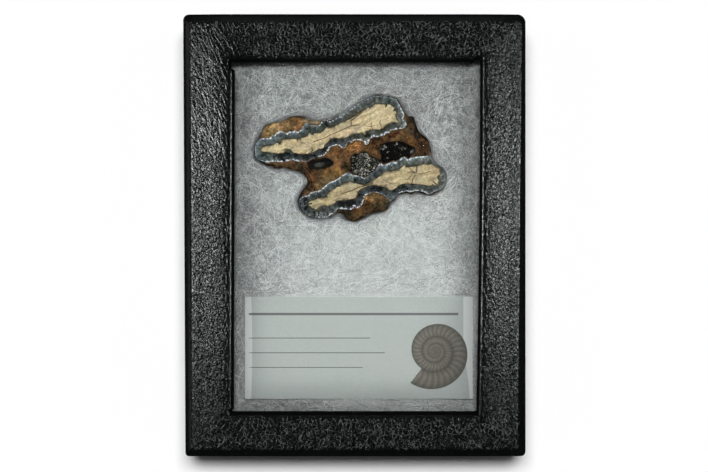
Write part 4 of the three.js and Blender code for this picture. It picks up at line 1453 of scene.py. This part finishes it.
def fibres(index):
    colour, share_open, share_pressed = FIBRE_KINDS[index]
    lines = fibre_lines(FIBRES_EACH, FIBRE_SEED + index, share_open, share_pressed)
    random = np.random.default_rng(RADIUS_SEED + index)
    radius = 0.03 + 0.025 * random.random(len(lines))
    points, walls, ends = tubes(lines, radius)
    points[:, 2] = np.minimum(points[:, 2], GLASS_LOW[2] - 0.01)
    finish = Finish(f"batting_fibre_{index + 1}", colour, 0.55, Specular_IOR_Level=0.3)
    made = new_object(f"batting_fibres_{index + 1}", points, [walls, ends], [finish.material])
    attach(made, "root")
    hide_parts("batting")
    return made


# ======== the label ========
# Places on it are measured from its middle.
EMBLEM_LEFT, EMBLEM_RIGHT = 10.8, 26.6
EMBLEM_CENTRE = np.array([18.7, -0.9])
EMBLEM_RADIUS = 5.3
WHORL_GROWTH = 1.85  # how much wider the shell gets in a turn
SHELL_RIBS = 30
LABEL_STEPS = 0.9, 0.15, 0.17  # spacing of its points: beside the shell, across it and up
LABEL_RULES = [  # blank writing lines: start, end, height and half the width
    (-27, 24.4, 8.3, 0.3),
    (-27, 3, 2.4, 0.11),
    (-27, 6.4, -1.2, 0.11),
    (-27, 1, -4.8, 0.11),
]


def spiral_shell(points):
    """Depth inside a printed spiral shell, and how lit each part of it is, from 0 to 1."""
    x, y = (points - EMBLEM_CENTRE).T
    distance = np.maximum(np.hypot(x, y) / EMBLEM_RADIUS, 1e-3)
    angle = (np.arctan2(y, -x) + 0.9) / (2 * math.pi) % 1
    whorl = np.log(distance) / math.log(WHORL_GROWTH) - angle
    depth = -whorl * distance * math.log(WHORL_GROWTH) * EMBLEM_RADIUS
    rounded = np.sin(math.pi * (whorl - np.floor(whorl)))
    ribs = 0.5 + 0.5 * np.cos(2 * math.pi * (angle * SHELL_RIBS + 0.35 * rounded))
    return depth, rounded**0.6 * (0.45 + 0.55 * ribs)


def label_finish():
    """Grey paper, paler at its side edges, with rules, a shell and a speck printed on it."""
    f = Finish("label_paper_printed", (146, 151, 149), 0.62)
    mottled = f.range(f.noise(0.5, 4, 0.7), 0.3, 0.7)
    paper = f.mix(mottled, rgba(132, 138, 136), rgba(139, 145, 143))
    # paler strips along the label's left and right edges
    bare = f.range(f.stored("pale_edge_strip"), -0.1, 0.1, 0, 0.8)
    paper = f.mix(bare, paper, rgba(172, 176, 174))
    ink = f.math("MULTIPLY", f.range(f.stored("ink"), -0.03, 0.03), 0.85)
    paper = f.mix(ink, paper, rgba(54, 57, 57))
    lit = f.math("MULTIPLY", f.stored("lit"), f.range(f.noise(0.8, 3), 0.3, 0.7, 0.7, 1))
    shell = f.mix(lit, rgba(46, 45, 41), rgba(96, 94, 87))
    paper = f.mix(f.range(f.stored("shell"), -0.08, 0.08), paper, shell)
    speck = f.range(f.stored("speck"), -0.03, 0.05)
    f.colour(f.mix(speck, paper, rgba(60, 60, 56)))
    f.bump(f.noise(0.3, 3), 0.01, 0.3)
    return f.material


def label_marks(points, half):
    """The numbers that the label's finish is painted with, at points from its middle."""
    x, y = points.T
    left_edge = -half[0] + 1.75 - 0.25 * (y / half[1]) ** 2
    right_edge = half[0] - 2.3 + 1.5 * smooth_step(y, 2, -12)
    ink = np.full(len(x), OUTSIDE)
    for start, end, height, half_width in LABEL_RULES:
        rule = np.minimum.reduce([x - start, end - x, half_width - np.abs(y - height)])
        ink = np.maximum(ink, rule)
    shell, lit = spiral_shell(points)
    return {
        "pale_edge_strip": np.maximum(left_edge - x, x - right_edge),
        "ink": ink,
        "shell": shell,
        "lit": lit,
        "speck": 0.16 - np.hypot(x - 3, y + 7.5),
    }


def label():
    middle = (LABEL_LOW + LABEL_HIGH) / 2
    half = ((LABEL_HIGH - LABEL_LOW) / 2)[:2]
    start, end = (LABEL_LOW - middle)[:2], (LABEL_HIGH - middle)[:2]
    beside, across, up = LABEL_STEPS
    x = np.concatenate([
        np.arange(start[0], EMBLEM_LEFT, beside),
        np.arange(EMBLEM_LEFT, EMBLEM_RIGHT, across),
        end[:1],
    ])
    y = np.append(np.arange(start[1], end[1] - 0.1, up), end[1])
    flat, squares, border = flat_grid(x, y)
    count = len(flat)
    wave = 0.03 * noise(flat, 9, 71) + 0.02 * noise(flat, 4, 73)
    top = np.column_stack([flat + middle[:2], LABEL_HIGH[2] - 0.05 + wave])
    bottom = np.column_stack([flat + middle[:2], np.full(count, LABEL_LOW[2] + 0.02)])
    walls = ring_walls(np.vstack([border, border + count]))
    faces = np.vstack([squares, squares[:, ::-1] + count, walls])
    points = np.vstack([top, bottom])
    made = new_object("label_card", points, [faces], [label_finish()], smooth=False)
    for name, values in label_marks(flat, half).items():
        give_value(made, name, np.concatenate([values, np.full(count, OUTSIDE)]))
    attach(made, "root")
    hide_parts("label")
    return made


# ======== floor, lights and camera ========
CAMERA_PLACE = (-0.1, -0.17, 593.7)
CAMERA_LENS = 120
SENSOR_WIDTH = 36
FLOOR_REACH = 8000
KEY_SIDEWAYS, KEY_FORWARD = 6, 14.5  # how far the two suns lean, in degrees
KEY_ENERGY, KEY_WIDTH = 1.62, 15
WORLD_STRENGTH = 0.03

# What doesn't see a light that is for sheen alone, and what doesn't see one without sheen.
SHEEN_ONLY = ("camera", "diffuse", "transmission")
NO_SHEEN = ("camera", "glossy", "transmission")
WHITE, GREENISH = (1, 1, 1), (0.94, 1, 0.98)
# Name, place and aim in millimetres, energy, width and height in metres, spread in degrees, colour
# and what doesn't see it. The boxes give sheen to the lid's long sides and the rims to its rounded
# edges, the glow falls through the window and not on the lid, and the sides fill in.
PANELS = [
    ("box_left", (-205, 8, 300), (-34, 4, 19), 0.0163, 0.06, 0.12, 22, GREENISH, SHEEN_ONLY),
    ("box_right", (205, 8, 300), (34, 4, 19), 0.0168, 0.06, 0.12, 22, GREENISH, SHEEN_ONLY),
    ("window_glow", (0.6, 1, 300), (0.6, 1, 15), 0.015, 0.05, 0.078, 2.6, WHITE, NO_SHEEN),
    ("rim_left", (-650, 0, 440), (0, 0, 19), 0.35, 0.4, 0.4, 180, WHITE, SHEEN_ONLY),
    ("rim_top", (0, 650, 440), (0, 0, 19), 0.07, 0.4, 0.4, 180, WHITE, SHEEN_ONLY),
    ("side_left", (-900, 0, 520), (0, 0, 15), 0.42, 0.8, 0.4, 180, WHITE, NO_SHEEN),
    ("side_right", (900, 0, 520), (0, 0, 15), 0.42, 0.8, 0.4, 180, WHITE, NO_SHEEN),
]


def floor():
    grid = np.linspace(-FLOOR_REACH, FLOOR_REACH, 5)
    flat, squares, _ = flat_grid(grid, grid)
    f = Finish("floor_paper", (250, 250, 250), 0.9, Specular_IOR_Level=0.0)
    made = new_object("floor", in_space(flat), [squares], [f.material])
    made.visible_glossy = False


def lamp(name, kind, place, aim, energy, unseen_by, **settings):
    """A light at a place in millimetres, turned to another; the settings are Blender's own."""
    data = bpy.data.lights.new(name, kind)
    data.energy = energy
    for key, value in settings.items():
        setattr(data, key, value)
    made = bpy.data.objects.new(name, data)
    bpy.context.scene.collection.objects.link(made)
    made.location = np.array(place) * MM
    direction = (np.array(aim) - np.array(place)) * MM
    made.rotation_euler = mathutils.Vector(direction).to_track_quat("-Z", "Y").to_euler()
    for ray in unseen_by:
        setattr(made, f"visible_{ray}", False)


def lights():
    lean, forward = (1000 * math.tan(math.radians(a)) for a in (KEY_SIDEWAYS, KEY_FORWARD))
    for name, side in (("key_left", -1), ("key_right", 1)):
        place, width = (side * lean, forward, 1000), math.radians(KEY_WIDTH)
        lamp(name, "SUN", place, (0, 0, 0), KEY_ENERGY, ("glossy", "transmission"), angle=width)
    for name, place, aim, energy, width, height, spread, colour, unseen_by in PANELS:
        shape = {"shape": "RECTANGLE", "size": width, "size_y": height}
        beam = {"spread": math.radians(spread), "color": colour}
        lamp(name, "AREA", place, aim, energy, unseen_by, **shape, **beam)
    world = bpy.data.worlds.new("studio")
    world.use_nodes = True
    background = world.node_tree.nodes["Background"]
    background.inputs["Color"].default_value = (*WHITE, 1)
    background.inputs["Strength"].default_value = WORLD_STRENGTH
    bpy.context.scene.world = world


def camera():
    data = bpy.data.cameras.new("camera")
    data.lens = CAMERA_LENS
    data.sensor_width = SENSOR_WIDTH
    made = bpy.data.objects.new("camera", data)
    bpy.context.scene.collection.objects.link(made)
    made.location = np.array(CAMERA_PLACE) * MM
    bpy.context.scene.camera = made


camera()
lid()
dress("glass", glass_finish())
dress("tray", tray_finish())
for pin_name in ("pin_left", "pin_right"):
    dress(pin_name, pin_finish())
batting()
for fibre_piece in range(len(FIBRE_KINDS)):
    fibres(fibre_piece)
molar_slice()
label()
floor()
lights()
bpy.context.scene.view_settings.view_transform = "Standard"
